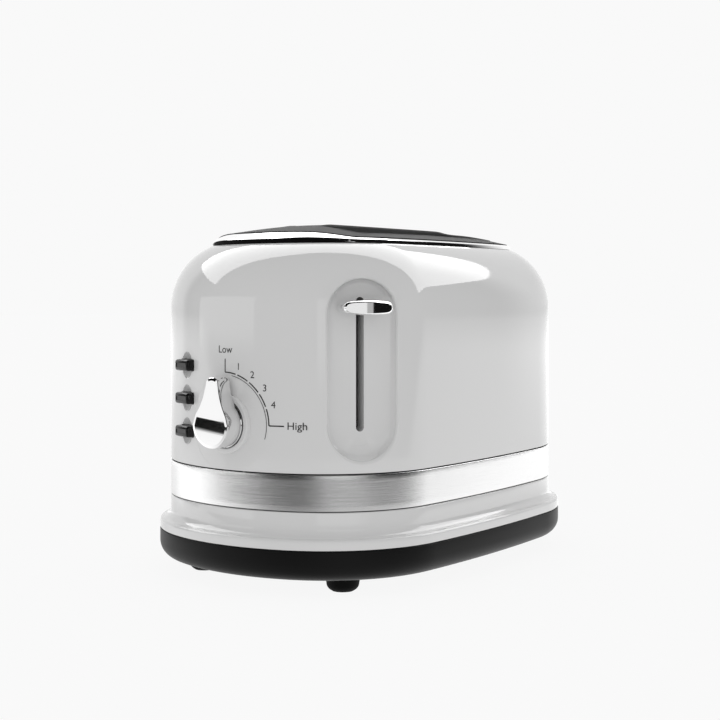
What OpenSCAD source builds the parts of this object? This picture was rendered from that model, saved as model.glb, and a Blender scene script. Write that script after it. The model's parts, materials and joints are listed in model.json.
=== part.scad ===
// Two-slice toaster with a lever in its front right corner, a browning knob and three buttons.
// Millimetres, +Z up, the control end faces -Y, and the origin is on the floor under the middle.

/* [Body] */
// Length of the shell, front to back
body_length = 280; // [272:1:290]
// Width of the shell
body_width = 184; // [180:1:192]
// Plan radius of the four rounded corners
corner_radius = 77.024; // [75:0.001:79]
// Thickness of the shell, skirt, band and base walls
wall = 2.4; // [2:0.1:2.8]
// Clear height under the base, which is the height of the feet
foot_height = 9.3; // [8:0.1:14]
// Height of the black base
base_height = 18.1; // [17:0.1:20]
// Height of the flared skirt above the base
skirt_height = 20.5; // [19:0.5:24]
// Height of the brushed band above the skirt
band_height = 21; // [18:0.5:24]
// Height of the shell above the band
shell_height = 130.6; // [128:0.1:136]
// Height of the shadow lines that part the band from the skirt and the shell
shadow_gap = 0.6; // [0.4:0.1:1]
// Radius of the shoulder that rolls in towards the top
shoulder_radius = 41; // [38:0.5:43]
// How far in from the outline the shoulder ends
rim_inset = 24.65; // [23:0.05:26]
// How far the base and the lip of the skirt stand out from the outline
base_outset = 6.6; // [5.5:0.1:8]
// Rounding of the lower edge of the base
base_round = 10; // [8:0.5:11]
// Height of the lip of the skirt
lip_height = 6; // [5:0.5:8]
// Rounding of the lip of the skirt
lip_round = 1.6; // [1:0.1:2]
// Radius of the cove between the lip and the wall of the skirt
cove_radius = 5; // [4:0.5:5.5]
// Largest diameter of a foot
foot_diameter = 21; // [18:0.5:24]
// Distance between the left and the right feet
foot_span_x = 106; // [98:1:118]
// Distance between the front and the rear feet
foot_span_y = 199; // [190:1:216]

/* [Top] */
// Radius of the rounded section of the chrome rim
rim_round = 3.2; // [2.8:0.1:3.6]
// Width of the chrome rim, seen from above
rim_width = 3.8; // [3.2:0.1:4.4]
// Height of the edge of the top plate above the shoulder
plate_edge = 5.1; // [4.5:0.1:6]
// Rise of the crowned top plate above its edge
crown_rise = 8.2; // [7:0.1:11]
// Thickness of the top plate and its slot collars
plate_wall = 1.2; // [1:0.1:1.6]
// Clear length of a bread slot
slot_length = 150; // [140:1:154]
// Clear width of a bread slot
slot_width = 34; // [30:1:36]
// Distance between the middles of the two bread slots
slot_pitch = 64; // [60:1:66]
// Rounding of the corners of a bread slot
slot_round = 6; // [4:0.5:8]
// How far the collar of a slot reaches below the shoulder's top
collar_drop = 6; // [4:0.5:8]

/* [Lever] */
// Angle of the lever's recess from the front, towards the right
lever_angle = 52.5; // [49:0.5:54]
// Width of the recess
recess_width = 40.4; // [38:0.2:43]
// Height of the recess
recess_height = 102.5; // [98:0.5:106]
// Bottom of the recess above the shell's lower edge
recess_bottom = 7; // [5:0.5:9]
// Depth of the recess at its middle
recess_depth = 8; // [7:0.5:9]
// Rounding of the floor of the recess at its lower end
recess_scoop = 8; // [6:0.5:8]
// Width of the slot that the lever's arm runs in
lever_slot_width = 4.7; // [4.2:0.1:5.4]
// Height of the slot that the lever's arm runs in
lever_slot_height = 76.2; // [75.6:0.2:82]
// Lower end of that slot above the bottom of the recess
lever_slot_bottom = 16.2; // [15:0.2:18]
// How far down the lever and the bread carriage travel
lever_travel = 64; // [58:1:64]
// Width of the lever's grip
grip_width = 28.5; // [26:0.5:32]
// Height of the lever's grip
grip_height = 8; // [7:0.5:9]
// Length of the lever's grip, out from the floor of the recess
grip_length = 20; // [16:0.5:22]
// How far the front of the grip is bowed
grip_bow = 2.2; // [1.5:0.1:3]
// Thickness of the lever's arm
arm_thick = 2.4; // [2:0.1:3]

/* [Controls] */
// Height of the knob's axis above the shell's lower edge
dial_height = 26.8; // [25:0.1:29]
// Radius of the shallow dish round the knob
dish_radius = 28; // [26:0.5:32]
// Depth of that dish
dish_depth = 0.6; // [0.4:0.1:0.8]
// Radius of the round part of the knob
knob_radius = 13.6; // [12:0.1:14]
// Reach of the knob's pointer from its axis
pointer_reach = 27; // [26:0.5:30]
// Width of the tip of the pointer
pointer_tip = 6.4; // [5.5:0.1:7.5]
// Radius of the hollow flanks of the pointer
flank_radius = 30; // [27:0.5:34]
// How far the crest of the knob stands out from the shell
knob_stand = 14.5; // [13:0.1:16]
// How much lower the pointer's tip and the knob's foot are than the crest
knob_gable = 3; // [2:0.1:3.5]
// Outer radius of the collar round the knob
collar_radius = 17; // [16:0.5:18.5]
// How far that collar stands out
collar_stand = 2.2; // [1.5:0.1:2.6]
// Turn of the browning knob from light to dark, in degrees
knob_turn = 90; // [60:5:120]
// Diameter of the knob's shaft
shaft_diameter = 6; // [5:0.5:7]
// Angle of the buttons from the front, towards the left
button_angle = 18.6; // [18:0.1:21]
// Height of the lowest button above the shell's lower edge
button_low = 20.1; // [19:0.1:22]
// Distance between the buttons
button_pitch = 19.5; // [19:0.1:21]
// Width of a button
button_width = 15.5; // [13:0.5:16]
// Height of a button
button_height = 6.6; // [6:0.1:7.2]
// How far a button stands out from the shell
button_stand = 4.4; // [3.5:0.1:6]
// Travel of a button
button_travel = 2; // [1:0.1:2]
// Width of the dimple behind a button
dimple_width = 12.4; // [11:0.2:13.4]
// Height of the dimple behind a button
dimple_height = 16; // [15:0.2:17.6]
// Depth of the dimple behind a button
dimple_depth = 2.6; // [2:0.1:3]

/* [Mechanism] */
// Distance from the middle to the inner face of each chassis plate
plate_reach = 82; // [80:0.5:83]
// Thickness of the steel sheets
sheet = 1.2; // [1:0.1:1.5]
// Width of the chassis plates
chassis_width = 124; // [120:1:128]
// Height of the chassis posts inside the base
post_height = 17.7; // [16:0.1:20]
// Height of the chassis plates
chassis_height = 158; // [154:1:160]
// Top of the raised bread racks above the floor
rack_height = 112; // [110:1:116]
// Depth of the rail of a bread rack
rack_rail = 8; // [6:0.5:9]
// Number of cross bars on a bread rack
rack_bars = 7; // [5:1:9]
// Distance from the slot's middle to each bread guide when it is open
guide_open = 17; // [16.5:0.5:18]
// How far each bread guide closes in on the bread
guide_travel = 6; // [4:0.5:6]
// Diameter of the wires of a bread guide
guide_wire = 2; // [1.8:0.1:2.4]
// Number of upright wires in a bread guide
guide_wires = 8; // [5:1:10]
// Diameter of the rod that guides the carriage
rod_diameter = 6; // [5:0.5:7]
// Radial running clearance of a bush or a bearing
running_fit = 0.08; // [0.05:0.01:0.1]
// Clearance between pieces that move past each other
clearance = 0.5; // [0.3:0.1:0.7]
// Diameter of the wire of the lift spring
spring_wire = 1.2; // [1:0.1:1.4]
// Number of turns of the lift spring
spring_turns = 12; // [8:1:14]
// Thickness of the heater boards
board_thick = 1; // [0.8:0.1:1.4]
// Number of runs of heating ribbon on a board
ribbon_runs = 7; // [5:1:9]
// Width of the heating ribbon
ribbon_width = 2; // [1.6:0.2:3]
// Thickness of the heating ribbon
ribbon_thick = 0.4; // [0.3:0.1:0.6]

/* [Crumb tray and cord] */
// Width of the crumb tray
tray_width = 120; // [110:1:124]
// Height of the crumb tray's walls
tray_height = 7; // [6:0.5:8]
// Thickness of the crumb tray's sheet
tray_wall = 1; // [0.8:0.1:1.2]
// Height of the tray's door in the rear of the base
door_height = 9.2; // [8.8:0.1:10]
// How far the tray's pull tab stands out
tab_stand = 8; // [6:0.5:10]
// Diameter of the cord gland's bore
gland_bore = 7; // [6:0.5:8]

/* [Hidden] */
$fn = 96;
eps = 0.01;

// Levels above the floor
base_z = foot_height;
skirt_z = base_z + base_height;
band_z = skirt_z + skirt_height;
shell_z = band_z + band_height;
rim_z = shell_z + shell_height;
plate_z = rim_z + plate_edge;
top_z = plate_z + crown_rise;
floor_z = base_z + wall;
chassis_z = floor_z + post_height;
chassis_top = chassis_z + chassis_height;

// Plan outline: two end bows, two side bows and four corners that meet tangent to one another.
// The seams lie on whole-number triangles (44-117-125 and 237-3116-3125), so that they close exactly.
end_seam = [44 / 125, 117 / 125];
side_seam = [3116 / 3125, 237 / 3125];
half_l = body_length / 2;
half_w = body_width / 2;
seam_det = end_seam.x * side_seam.y - (1 - side_seam.x) * (1 - end_seam.y);
room_l = half_l - corner_radius;
room_w = half_w - corner_radius;
end_extra = (room_w * side_seam.y - room_l * (1 - side_seam.x)) / seam_det;
side_extra = (room_l * end_seam.x - room_w * (1 - end_seam.y)) / seam_det;
end_radius = corner_radius + end_extra;
side_radius = corner_radius + side_extra;
corner = [end_extra * end_seam.x, half_l - corner_radius - (1 - end_seam.y) * end_extra];
end_centre = half_l - end_radius;
side_centre = half_w - side_radius;
end_span = 50;
side_span = 12;
corner_span = 75;
short_reach = 250;
long_reach = 1000;

// Shoulder, rim and top plate
shoulder_z = rim_z - sqrt(pow(shoulder_radius, 2) - pow(shoulder_radius - rim_inset, 2));
ledge_inset = rim_inset + rim_width + 3;
plate_inset = rim_inset - 0.25 + rim_width;
rim_centre = [rim_inset - 0.25 + rim_round, rim_z + 3];
dome_run = corner_radius - plate_inset;
dome_radius = (pow(dome_run, 2) + pow(crown_rise, 2)) / (2 * crown_rise);
slot_x = slot_pitch / 2;
collar_z = rim_z - collar_drop;

// Lever
recess_z = shell_z + recess_bottom;
recess_top = recess_z + recess_height;
recess_floor = corner_radius - recess_depth;
lever_slot_z = recess_z + lever_slot_bottom;
lever_slot_top = lever_slot_z + lever_slot_height;
arm_height = grip_height;
arm_gap = 2;
grip_z = lever_slot_top - arm_gap - arm_height / 2;

// Controls
dial_z = shell_z + dial_height;
front_y = -half_l;
button_z = [for (i = [2, 1, 0]) shell_z + button_low + i * button_pitch];
button_hole = [button_width + clearance, button_height + clearance];
flange_thick = 1.6;
flange_wide = 3;
dimple_axis = (pow(dimple_width / 2, 2) - pow(dimple_depth, 2)) / (2 * dimple_depth);
dimple_arc = (pow(dimple_height / 2, 2) + pow(dimple_depth, 2)) / (2 * dimple_depth);
dimple_round = dimple_axis + dimple_depth;
pad_in = end_radius - dimple_depth - 2.6;
pad_out = end_radius - 1.3;
button_end = pad_in - button_travel - 3 * clearance;
flange_out = pad_in - clearance;
switch_size = 6;
switch_thick = 3;
switch_back = button_end - button_travel - clearance - switch_thick;
carrier_thick = 1.6;
carrier_width = 20;
carrier_low = button_z[2] - dimple_height / 2 - 3;
carrier_high = button_z[0] + dimple_height / 2 + 3;

// Carriage and its drive
bracket_gap = 4.8;
bracket_y = -(plate_reach + sheet + bracket_gap);
bracket_left = -slot_x - 8;
bracket_right = slot_x + 24;
bracket_low = rack_height - rack_rail - 4;
bracket_high = grip_z + arm_height / 4 + 1;
rod_x = 8;
bush_size = [16, 15, 24];
rod_y = bracket_y - sheet - bush_size.y / 2;
bush_low = bracket_high - bush_size.z - 2;
rod_tab = 2 * (rod_diameter / 2 + 5);
rod_tab_low = chassis_z + 4;
rod_tab_high = chassis_top - 4 - sheet;
magnet_x = -24;
coil_radius = 10;
core_radius = 4;
magnet_y = bracket_y - sheet - coil_radius - 2;
core_low = floor_z;
armature_thick = 2;
armature_low = bracket_low + 2;
core_top = armature_low - lever_travel - clearance;
coil_low = core_low + 5;
coil_top = core_top - 4;
spring_radius = rod_diameter / 2 + spring_wire / 2 + 1;
spring_low = rod_tab_low + sheet;
spring_length = bush_low - spring_low;

// Control board
board_y = magnet_y - coil_radius - 1;
pcb_thick = 1.6;
pcb_left = -46;
pcb_right = 40;
pcb_low = dial_z - 28;
pcb_high = dial_z + 56;
strap_width = 8;
strap_x = [pcb_left + 8, pcb_right - 8];
screw_z = [pcb_low + 6, pcb_high - 6];
board_screw = 3;
pot_radius = 8.5;
pot_front = board_y - pcb_thick - 9;

// Heaters and guides
board_low = chassis_z + 22;
board_high = chassis_top - 8;
outer_board_x = slot_x + guide_open + guide_wire / 2 + 6;
reflector_x = outer_board_x + board_thick / 2 + 3;
reflector_thick = 0.6;
ribbon_margin = 7;
guide_low = rack_height - lever_travel + 22;
guide_drop = 18;
guide_high = collar_z - guide_drop;
guide_over = 1.2;
guide_bar = guide_wire + 0.4;
rack_thick = 2;
rack_bar = 2.4;
rack_bar_length = 2 * (guide_open - guide_travel - guide_wire / 2 - 2);
rack_slot = rack_thick + 2 * clearance;

// Chassis feet
post_radius = 5;
post_x = chassis_width / 2 + 8;
post_y = plate_reach + sheet + 6;
foot_tab = 12;
screw_shaft = 3;
screw_head = 6;

// Crumb tray
tray_z = floor_z + clearance;
tray_front = -(plate_reach - 4);
door_z = tray_z;
door_width = tray_width + 2 * clearance;
base_arc = [base_round - base_outset, base_z + base_round];
door_foot = base_arc.x - sqrt(pow(base_round - wall, 2) - pow(base_arc.y - tray_z, 2));
tray_end = end_radius - door_foot - 1.8;
tray_rear = end_centre + sqrt(pow(tray_end, 2) - pow(tray_width / 2, 2));

// Cord gland and terminals
gland_z = shell_z + 15;
gland_flange = gland_bore / 2 + 4.5;
gland_body = gland_bore / 2 + 2.4;
gland_y = half_l;
terminal_size = [30, 14, 18];
terminal_z = chassis_z + 60;

// One stretch of the outline: a profile turned about the stretch's centre and trimmed at its two seams
module stretch(centre, radius, from, span, wedge) {
    translate([centre.x, centre.y, 0])
        intersection() {
            rotate_extrude(angle = span, start = from, $fn = radius > 300 ? 720 : 144)
                translate([radius, 0])
                    mirror([1, 0])
                        children();
            linear_extrude(top_z + 1)
                polygon(wedge);
        }
}

module end_stretch() {
    stretch([0, end_centre], end_radius, 90 - end_span / 2, end_span,
        [[0, 0], short_reach * end_seam, [-short_reach * end_seam.x, short_reach * end_seam.y]])
        children();
}

module side_stretch() {
    stretch([side_centre, 0], side_radius, -side_span / 2, side_span,
        [[0, 0], [long_reach * side_seam.x, -long_reach * side_seam.y], long_reach * side_seam])
        children();
}

module corner_stretch() {
    stretch(corner, corner_radius, 0, corner_span,
        [[0, 0], short_reach * side_seam, short_reach * (side_seam + end_seam), short_reach * end_seam])
        children();
}

// Carries a profile, drawn as distance in from the outline and height, once round the body
module swept() {
    for (i = [0, 1]) {
        mirror([0, i, 0])
            end_stretch()
                children();
        mirror([i, 0, 0])
            side_stretch()
                children();
        for (j = [0, 1])
            mirror([i, 0, 0])
                mirror([0, j, 0])
                    corner_stretch()
                        children();
    }
}

// A rectangle given by its two corners
module span2(low, high) {
    translate(low)
        square(high - low);
}

// A box given by its two corners
module span3(low, high) {
    translate(low)
        cube(high - low);
}

// A cylinder along Y from one depth to another
module along_y(x, z, from, to, r) {
    translate([x, from, z])
        rotate([-90, 0, 0])
            cylinder(h = to - from, r = r);
}

// Local frames: x points out of the shell, y runs along the shell, z is up
module at_lever() {
    translate([corner.x, -corner.y, 0])
        rotate([0, 0, lever_angle - 90])
            children();
}

module at_buttons() {
    translate([0, -end_centre, 0])
        rotate([0, 0, -90 - button_angle])
            children();
}

// An upright slot shape in the local frame, from one distance out to another
module upright_slot(width, low, high, from, to) {
    r = width / 2;
    translate([from, 0, 0])
        rotate([90, 0, 90])
            linear_extrude(to - from)
                union() {
                    span2([-r, low + r], [r, high - r]);
                    for (z = [low + r, high - r])
                        translate([0, z])
                            circle(r);
                }
}

module shell_profile() {
    span2([0, shell_z + shadow_gap / 2], [wall, shoulder_z]);
    intersection() {
        difference() {
            translate([shoulder_radius, shoulder_z])
                circle(shoulder_radius);
            translate([shoulder_radius, shoulder_z])
                circle(shoulder_radius - wall);
        }
        span2([0, shoulder_z], [ledge_inset, rim_z]);
    }
}

// Everything inside the corner's outer face, which bounds the walls of the recess
module corner_mass() {
    mirror([0, 1, 0])
        translate([corner.x, corner.y, 0])
            rotate_extrude(angle = corner_span, start = 0)
                translate([corner_radius, 0])
                    mirror([1, 0])
                        union() {
                            span2([0, shell_z + shadow_gap / 2], [shoulder_radius, shoulder_z]);
                            intersection() {
                                translate([shoulder_radius, shoulder_z])
                                    circle(shoulder_radius);
                                span2([0, shoulder_z], [shoulder_radius, rim_z]);
                            }
                        }
}

module recess_walls() {
    intersection() {
        at_lever()
            upright_slot(recess_width + 2 * wall, recess_z - wall, recess_top + wall,
                recess_floor - wall, corner_radius + 1);
        corner_mass();
    }
}

module recess_cut() {
    at_lever()
        intersection() {
            upright_slot(recess_width, recess_z, recess_top, recess_floor, corner_radius + 20);
            rotate([90, 0, 0])
                linear_extrude(recess_width + 2, center = true)
                    union() {
                        span2([recess_floor + recess_scoop, recess_z - 1],
                            [corner_radius + 20, recess_top + 1]);
                        span2([recess_floor, recess_z + recess_scoop],
                            [recess_floor + recess_scoop, recess_top + 1]);
                        translate([recess_floor + recess_scoop, recess_z + recess_scoop])
                            circle(recess_scoop);
                    }
        }
}

module lever_slot_cut() {
    at_lever()
        upright_slot(lever_slot_width, lever_slot_z, lever_slot_top,
            recess_floor - 2 * wall, recess_floor + 1);
}

module dish_cut() {
    difference() {
        along_y(0, dial_z, front_y - 1, front_y + 8, dish_radius);
        translate([0, -end_centre, 0])
            cylinder(h = rim_z, r = end_radius - dish_depth, $fn = 360);
    }
}

module button_pads() {
    at_buttons()
        span3([pad_in, -carrier_width / 2, carrier_low], [pad_out, carrier_width / 2, carrier_high]);
}

module button_cuts() {
    at_buttons()
        for (z = button_z) {
            translate([end_radius, 0, z])
                cube([30, button_hole.x, button_hole.y], center = true);
            translate([end_radius + dimple_axis, 0, z])
                rotate_extrude()
                    intersection() {
                        translate([dimple_round - dimple_arc, 0])
                            circle(dimple_arc);
                        span2([0, -dimple_height], [dimple_round + 1, dimple_height]);
                    }
        }
}

module outer_shell() {
    color("white")
        difference() {
            union() {
                swept()
                    shell_profile();
                recess_walls();
                button_pads();
            }
            recess_cut();
            lever_slot_cut();
            dish_cut();
            button_cuts();
            along_y(0, dial_z, front_y - 1, front_y + 10, shaft_diameter / 2 + clearance);
            along_y(0, gland_z, gland_y - 10, gland_y + 1, gland_body + clearance / 10);
        }
}

module band_carrier() {
    color("dimgray")
        swept()
            span2([wall + clearance / 10, band_z - 4], [2 * wall, shell_z + 4]);
}

module trim_band() {
    color("silver")
        swept()
            span2([0, band_z + shadow_gap / 2], [wall, shell_z - shadow_gap / 2]);
}

module lower_skirt() {
    lip_z = skirt_z + lip_height;
    color("whitesmoke")
        swept()
            union() {
                span2([0, skirt_z], [wall, band_z - shadow_gap / 2]);
                span2([-base_outset, skirt_z], [0, lip_z - lip_round]);
                span2([lip_round - base_outset, skirt_z], [0, lip_z]);
                translate([lip_round - base_outset, lip_z - lip_round])
                    circle(lip_round);
                difference() {
                    span2([-cove_radius, skirt_z], [0, lip_z + cove_radius]);
                    translate([-cove_radius, lip_z + cove_radius])
                        circle(cove_radius);
                }
            }
}

// The rounded wall of the base, with its floor reaching in as far as asked
module base_profile(reach) {
    top = skirt_z - shadow_gap / 2;
    difference() {
        union() {
            span2([-base_outset, base_arc.y], [wall, top]);
            intersection() {
                translate(base_arc)
                    circle(base_round);
                span2([-base_outset, base_z], [base_arc.x, base_arc.y]);
            }
            span2([base_arc.x, base_z], [reach, base_arc.y]);
        }
        span2([wall - base_outset, base_arc.y], [reach + 1, top + 1]);
        translate(base_arc)
            circle(base_round - wall);
        span2([base_arc.x, floor_z], [reach + 1, base_arc.y + 1]);
    }
}

module chassis_posts() {
    for (x = [-post_x, post_x], y = [-post_y, post_y])
        translate([x, y, floor_z - eps])
            cylinder(h = post_height + eps, r = post_radius);
}

module chassis_holes(r) {
    for (x = [-post_x, post_x], y = [-post_y, post_y])
        translate([x, y, floor_z + 3])
            cylinder(h = post_height + 10, r = r);
}

module base_tray() {
    inner_reach = corner_radius - 5;
    color("#202020")
        difference() {
            union() {
                swept()
                    base_profile(inner_reach);
                span3([-corner.x - 12, -corner.y - 12, base_z], [corner.x + 12, corner.y + 12, floor_z]);
                chassis_posts();
            }
            chassis_holes(screw_shaft / 2 + running_fit);
            span3([-door_width / 2 - clearance, half_l - 25, floor_z],
                [door_width / 2 + clearance, half_l + 2 * base_outset, door_z + door_height + clearance]);
        }
}

module feet() {
    r = foot_diameter / 2;
    bevel = 4;
    color("#303030")
        for (x = [-foot_span_x / 2, foot_span_x / 2], y = [-foot_span_y / 2, foot_span_y / 2])
            translate([x, y, 0])
                rotate_extrude()
                    union() {
                        polygon([
                            [0, 0], [r - bevel - 1, 0], [r - 1, bevel], [r, foot_height], [0, foot_height]
                        ]);
                        intersection() {
                            translate([r - bevel - 1, bevel])
                                circle(bevel);
                            span2([0, 0], [r, bevel]);
                        }
                    }
}

module top_rim() {
    color("gainsboro")
        swept()
            intersection() {
                translate(rim_centre)
                    circle(rim_round);
                span2([rim_inset - 1, rim_z], [plate_inset - 0.2, rim_z + 2 * rim_round]);
            }
}

// The crowned sheet of the top plate, or all that lies under its face
module dome_profile(hollow) {
    intersection() {
        difference() {
            translate([corner_radius, top_z - dome_radius])
                circle(dome_radius, $fn = 720);
            if (hollow)
                translate([corner_radius, top_z - dome_radius])
                    circle(dome_radius - plate_wall, $fn = 720);
        }
        span2([plate_inset, collar_z], [corner_radius, top_z]);
    }
    if (hollow)
        span2([plate_inset, rim_z], [plate_inset + plate_wall, plate_z - plate_wall / 2]);
}

// The flat middle that the crown runs out into
module dome_middle(low) {
    translate([0, 0, low])
        linear_extrude(top_z - low)
            intersection() {
                translate([side_centre, 0])
                    circle(side_extra, $fn = 720);
                translate([-side_centre, 0])
                    circle(side_extra, $fn = 720);
                union() {
                    square([2 * end_extra, 2 * end_centre], center = true);
                    for (y = [-end_centre, end_centre])
                        translate([0, y])
                            circle(end_extra);
                }
            }
}

module slot_outline(grow) {
    r = slot_round + grow;
    for (x = [-slot_x, slot_x])
        translate([x, 0])
            union() {
                square([slot_width + 2 * grow, slot_length + 2 * grow - 2 * r], center = true);
                square([slot_width + 2 * grow - 2 * r, slot_length + 2 * grow], center = true);
                for (i = [-1, 1], j = [-1, 1])
                    translate([i * (slot_width / 2 + grow - r), j * (slot_length / 2 + grow - r)])
                        circle(r);
            }
}

module top_plate() {
    color("gray")
        difference() {
            union() {
                swept()
                    dome_profile(true);
                dome_middle(top_z - plate_wall);
                intersection() {
                    translate([0, 0, collar_z])
                        linear_extrude(top_z)
                            slot_outline(plate_wall);
                    union() {
                        swept()
                            dome_profile(false);
                        dome_middle(collar_z);
                    }
                }
            }
            translate([0, 0, collar_z - 1])
                linear_extrude(top_z)
                    slot_outline(0);
        }
}

module dial_collar() {
    color("whitesmoke")
        difference() {
            along_y(0, dial_z, front_y - collar_stand, front_y + 6, collar_radius);
            along_y(0, dial_z, front_y - collar_stand - 1, front_y + 7, knob_radius + clearance);
            translate([0, -end_centre, 0])
                cylinder(h = rim_z, r = end_radius - dish_depth + eps, $fn = 360);
        }
}

// The bell outline of the knob, drawn with its pointer up: half a disc below, hollow flanks and a round tip
knob_lip = 0.4;
knob_face = knob_radius - knob_lip;
knob_tip = pointer_tip / 2;
knob_tip_z = pointer_reach - knob_tip;
flank_middle = knob_tip + flank_radius;
flank_foot = knob_tip_z - sqrt(pow(flank_radius, 2) - pow(flank_middle - knob_face, 2));
flank_steps = 12;
function flank_z(i) = flank_foot + (knob_tip_z - flank_foot) * i / flank_steps;
function flank_x(z) = flank_middle - sqrt(pow(flank_radius, 2) - pow(knob_tip_z - z, 2));
module knob_outline() {
    polygon([
        for (a = [180 : 7.5 : 360]) knob_face * [cos(a), sin(a)],
        for (i = [0 : flank_steps]) [flank_x(flank_z(i)), flank_z(i)],
        for (a = [15 : 15 : 165]) [0, knob_tip_z] + knob_tip * [cos(a), sin(a)],
        for (i = [flank_steps : -1 : 0]) [-flank_x(flank_z(i)), flank_z(i)]
    ]);
}

module browning_knob() {
    low = front_y - clearance;
    pointer_low = front_y - collar_stand - clearance;
    high = front_y - knob_stand;
    shaft_end = front_y - knob_stand + 5;
    far = pointer_reach + 2;
    knob_disc = 2.5;
    color("gainsboro")
        difference() {
            intersection() {
                union() {
                    translate([0, pointer_low, dial_z])
                        rotate([90, 0, 0])
                            linear_extrude(knob_stand)
                                knob_outline();
                    along_y(0, dial_z, pointer_low - knob_disc, low, knob_radius);
                }
                translate([0, 0, dial_z])
                    rotate([90, 0, 90])
                        linear_extrude(4 * far, center = true)
                            polygon([
                                [low + 1, -far], [low + 1, far], [high + knob_gable, far], [high, 2],
                                [high, -2], [high + knob_gable, -knob_radius - 2], [high + knob_gable, -far]
                            ]);
            }
            along_y(0, dial_z, shaft_end, low + 1, shaft_diameter / 2);
        }
}

module knob_shaft() {
    color("silver")
        along_y(0, dial_z, front_y - knob_stand + 5, pot_front + 6, shaft_diameter / 2);
}

module push_button(z) {
    color("#1a1a1a")
        at_buttons()
            translate([0, 0, z]) {
                w = button_width / 2;
                h = button_height / 2;
                edge = 1.2;
                rotate([0, 90, 0])
                    translate([0, 0, flange_out - eps])
                        linear_extrude(end_radius + button_stand - flange_out)
                            union() {
                                square([2 * h - 2 * edge, 2 * w], center = true);
                                square([2 * h, 2 * w - 2 * edge], center = true);
                                for (i = [-1, 1], j = [-1, 1])
                                    translate([i * (h - edge), j * (w - edge)])
                                        circle(edge, $fn = 24);
                            }
                span3([flange_out - flange_thick, -w - flange_wide / 2, -h - flange_wide / 2],
                    [flange_out, w + flange_wide / 2, h + flange_wide / 2]);
                rotate([0, 90, 0])
                    translate([0, 0, button_end])
                        cylinder(h = flange_out - button_end, r = 2);
            }
}

module top_button() {
    push_button(button_z[0]);
}

module middle_button() {
    push_button(button_z[1]);
}

module lower_button() {
    push_button(button_z[2]);
}

// Frame behind the buttons that carries their switches and seats on the shell's pad
module switch_carrier() {
    color("#404040")
        at_buttons() {
            span3([switch_back - carrier_thick, -carrier_width / 2, carrier_low],
                [switch_back, carrier_width / 2, carrier_high]);
            for (z = [carrier_low, carrier_high - carrier_thick])
                span3([switch_back - eps, -carrier_width / 2, z],
                    [pad_in - clearance / 10, carrier_width / 2, z + carrier_thick]);
        }
}

module push_switches() {
    color("dimgray")
        at_buttons()
            for (z = button_z)
                span3([switch_back, -switch_size / 2, z - switch_size / 2],
                    [switch_back + switch_thick, switch_size / 2, z + switch_size / 2]);
}

module control_board() {
    color("darkgreen")
        difference() {
            span3([pcb_left, board_y - pcb_thick, pcb_low], [pcb_right, board_y, pcb_high]);
            for (x = strap_x, z = screw_z)
                along_y(x, z, board_y - pcb_thick - 1, board_y + 1, board_screw / 2 + running_fit);
        }
}

// Two straps that stand on the base and carry the control board
module board_bracket() {
    color("silver")
        difference() {
            union()
                for (x = strap_x) {
                    span3([x - strap_width / 2, board_y, floor_z],
                        [x + strap_width / 2, board_y + sheet, pcb_high]);
                    span3([x - strap_width / 2, board_y, floor_z],
                        [x + strap_width / 2, board_y + foot_tab, floor_z + sheet]);
                }
            for (x = strap_x, z = screw_z)
                along_y(x, z, board_y - 1, board_y + sheet + 1, board_screw / 2 + running_fit);
        }
}

module board_screws() {
    head = 1.6;
    color("silver")
        for (x = strap_x, z = screw_z) {
            along_y(x, z, board_y - pcb_thick - eps, board_y + sheet + 1.5, board_screw / 2);
            along_y(x, z, board_y - pcb_thick - head, board_y - pcb_thick, board_screw);
        }
}

module potentiometer() {
    color("steelblue")
        difference() {
            along_y(0, dial_z, pot_front, board_y - pcb_thick, pot_radius);
            along_y(0, dial_z, pot_front - 1, pot_front + 6.5, shaft_diameter / 2 + running_fit);
        }
}

module lever_grip() {
    back = recess_floor + 2 * clearance;
    front = recess_floor + grip_length;
    edge = 2;
    bow_radius = (pow(grip_width / 2, 2) + pow(grip_bow, 2)) / (2 * grip_bow);
    color("gainsboro")
        at_lever()
            translate([0, 0, grip_z])
                difference() {
                    intersection() {
                        rotate([90, 0, 90])
                            translate([0, 0, back])
                                linear_extrude(grip_length + 5)
                                    union() {
                                        square([grip_width - 2 * edge, grip_height], center = true);
                                        square([grip_width, grip_height - 2 * edge], center = true);
                                        for (i = [-1, 1], j = [-1, 1])
                                            translate([i * (grip_width / 2 - edge),
                                                j * (grip_height / 2 - edge)])
                                                circle(edge, $fn = 32);
                                    }
                        translate([front - bow_radius, 0, 0])
                            cylinder(h = 2 * grip_height, r = bow_radius, center = true, $fn = 180);
                    }
                    span3([back - 1, -arm_thick / 2, -arm_height / 4],
                        [front - 4, arm_thick / 2, arm_height / 4]);
                }
}

// Blade from the grip through the slot to a pad on the carriage bracket
module lever_arm() {
    tip = recess_floor + grip_length - 4;
    pad = 16;
    color("silver") {
        difference() {
            at_lever()
                span3([20, -arm_thick / 2, grip_z - arm_height / 4],
                    [tip, arm_thick / 2, grip_z + arm_height / 4]);
            span3([-half_w, bracket_y - sheet, grip_z - arm_height], [half_w, half_l, grip_z + arm_height]);
        }
        span3([bracket_right - pad, bracket_y - 2 * sheet, grip_z - arm_height / 4],
            [bracket_right, bracket_y - sheet, grip_z + arm_height / 4]);
    }
}

module carriage_bracket() {
    color("silver")
        span3([bracket_left, bracket_y - sheet, bracket_low], [bracket_right, bracket_y, bracket_high]);
}

module slide_bush() {
    color("dimgray")
        difference() {
            span3([rod_x - bush_size.x / 2, rod_y - bush_size.y / 2, bush_low],
                [rod_x + bush_size.x / 2, bracket_y - sheet, bush_low + bush_size.z]);
            translate([rod_x, rod_y, bush_low - 1])
                cylinder(h = bush_size.z + 2, r = rod_diameter / 2 + running_fit);
        }
}

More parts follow.
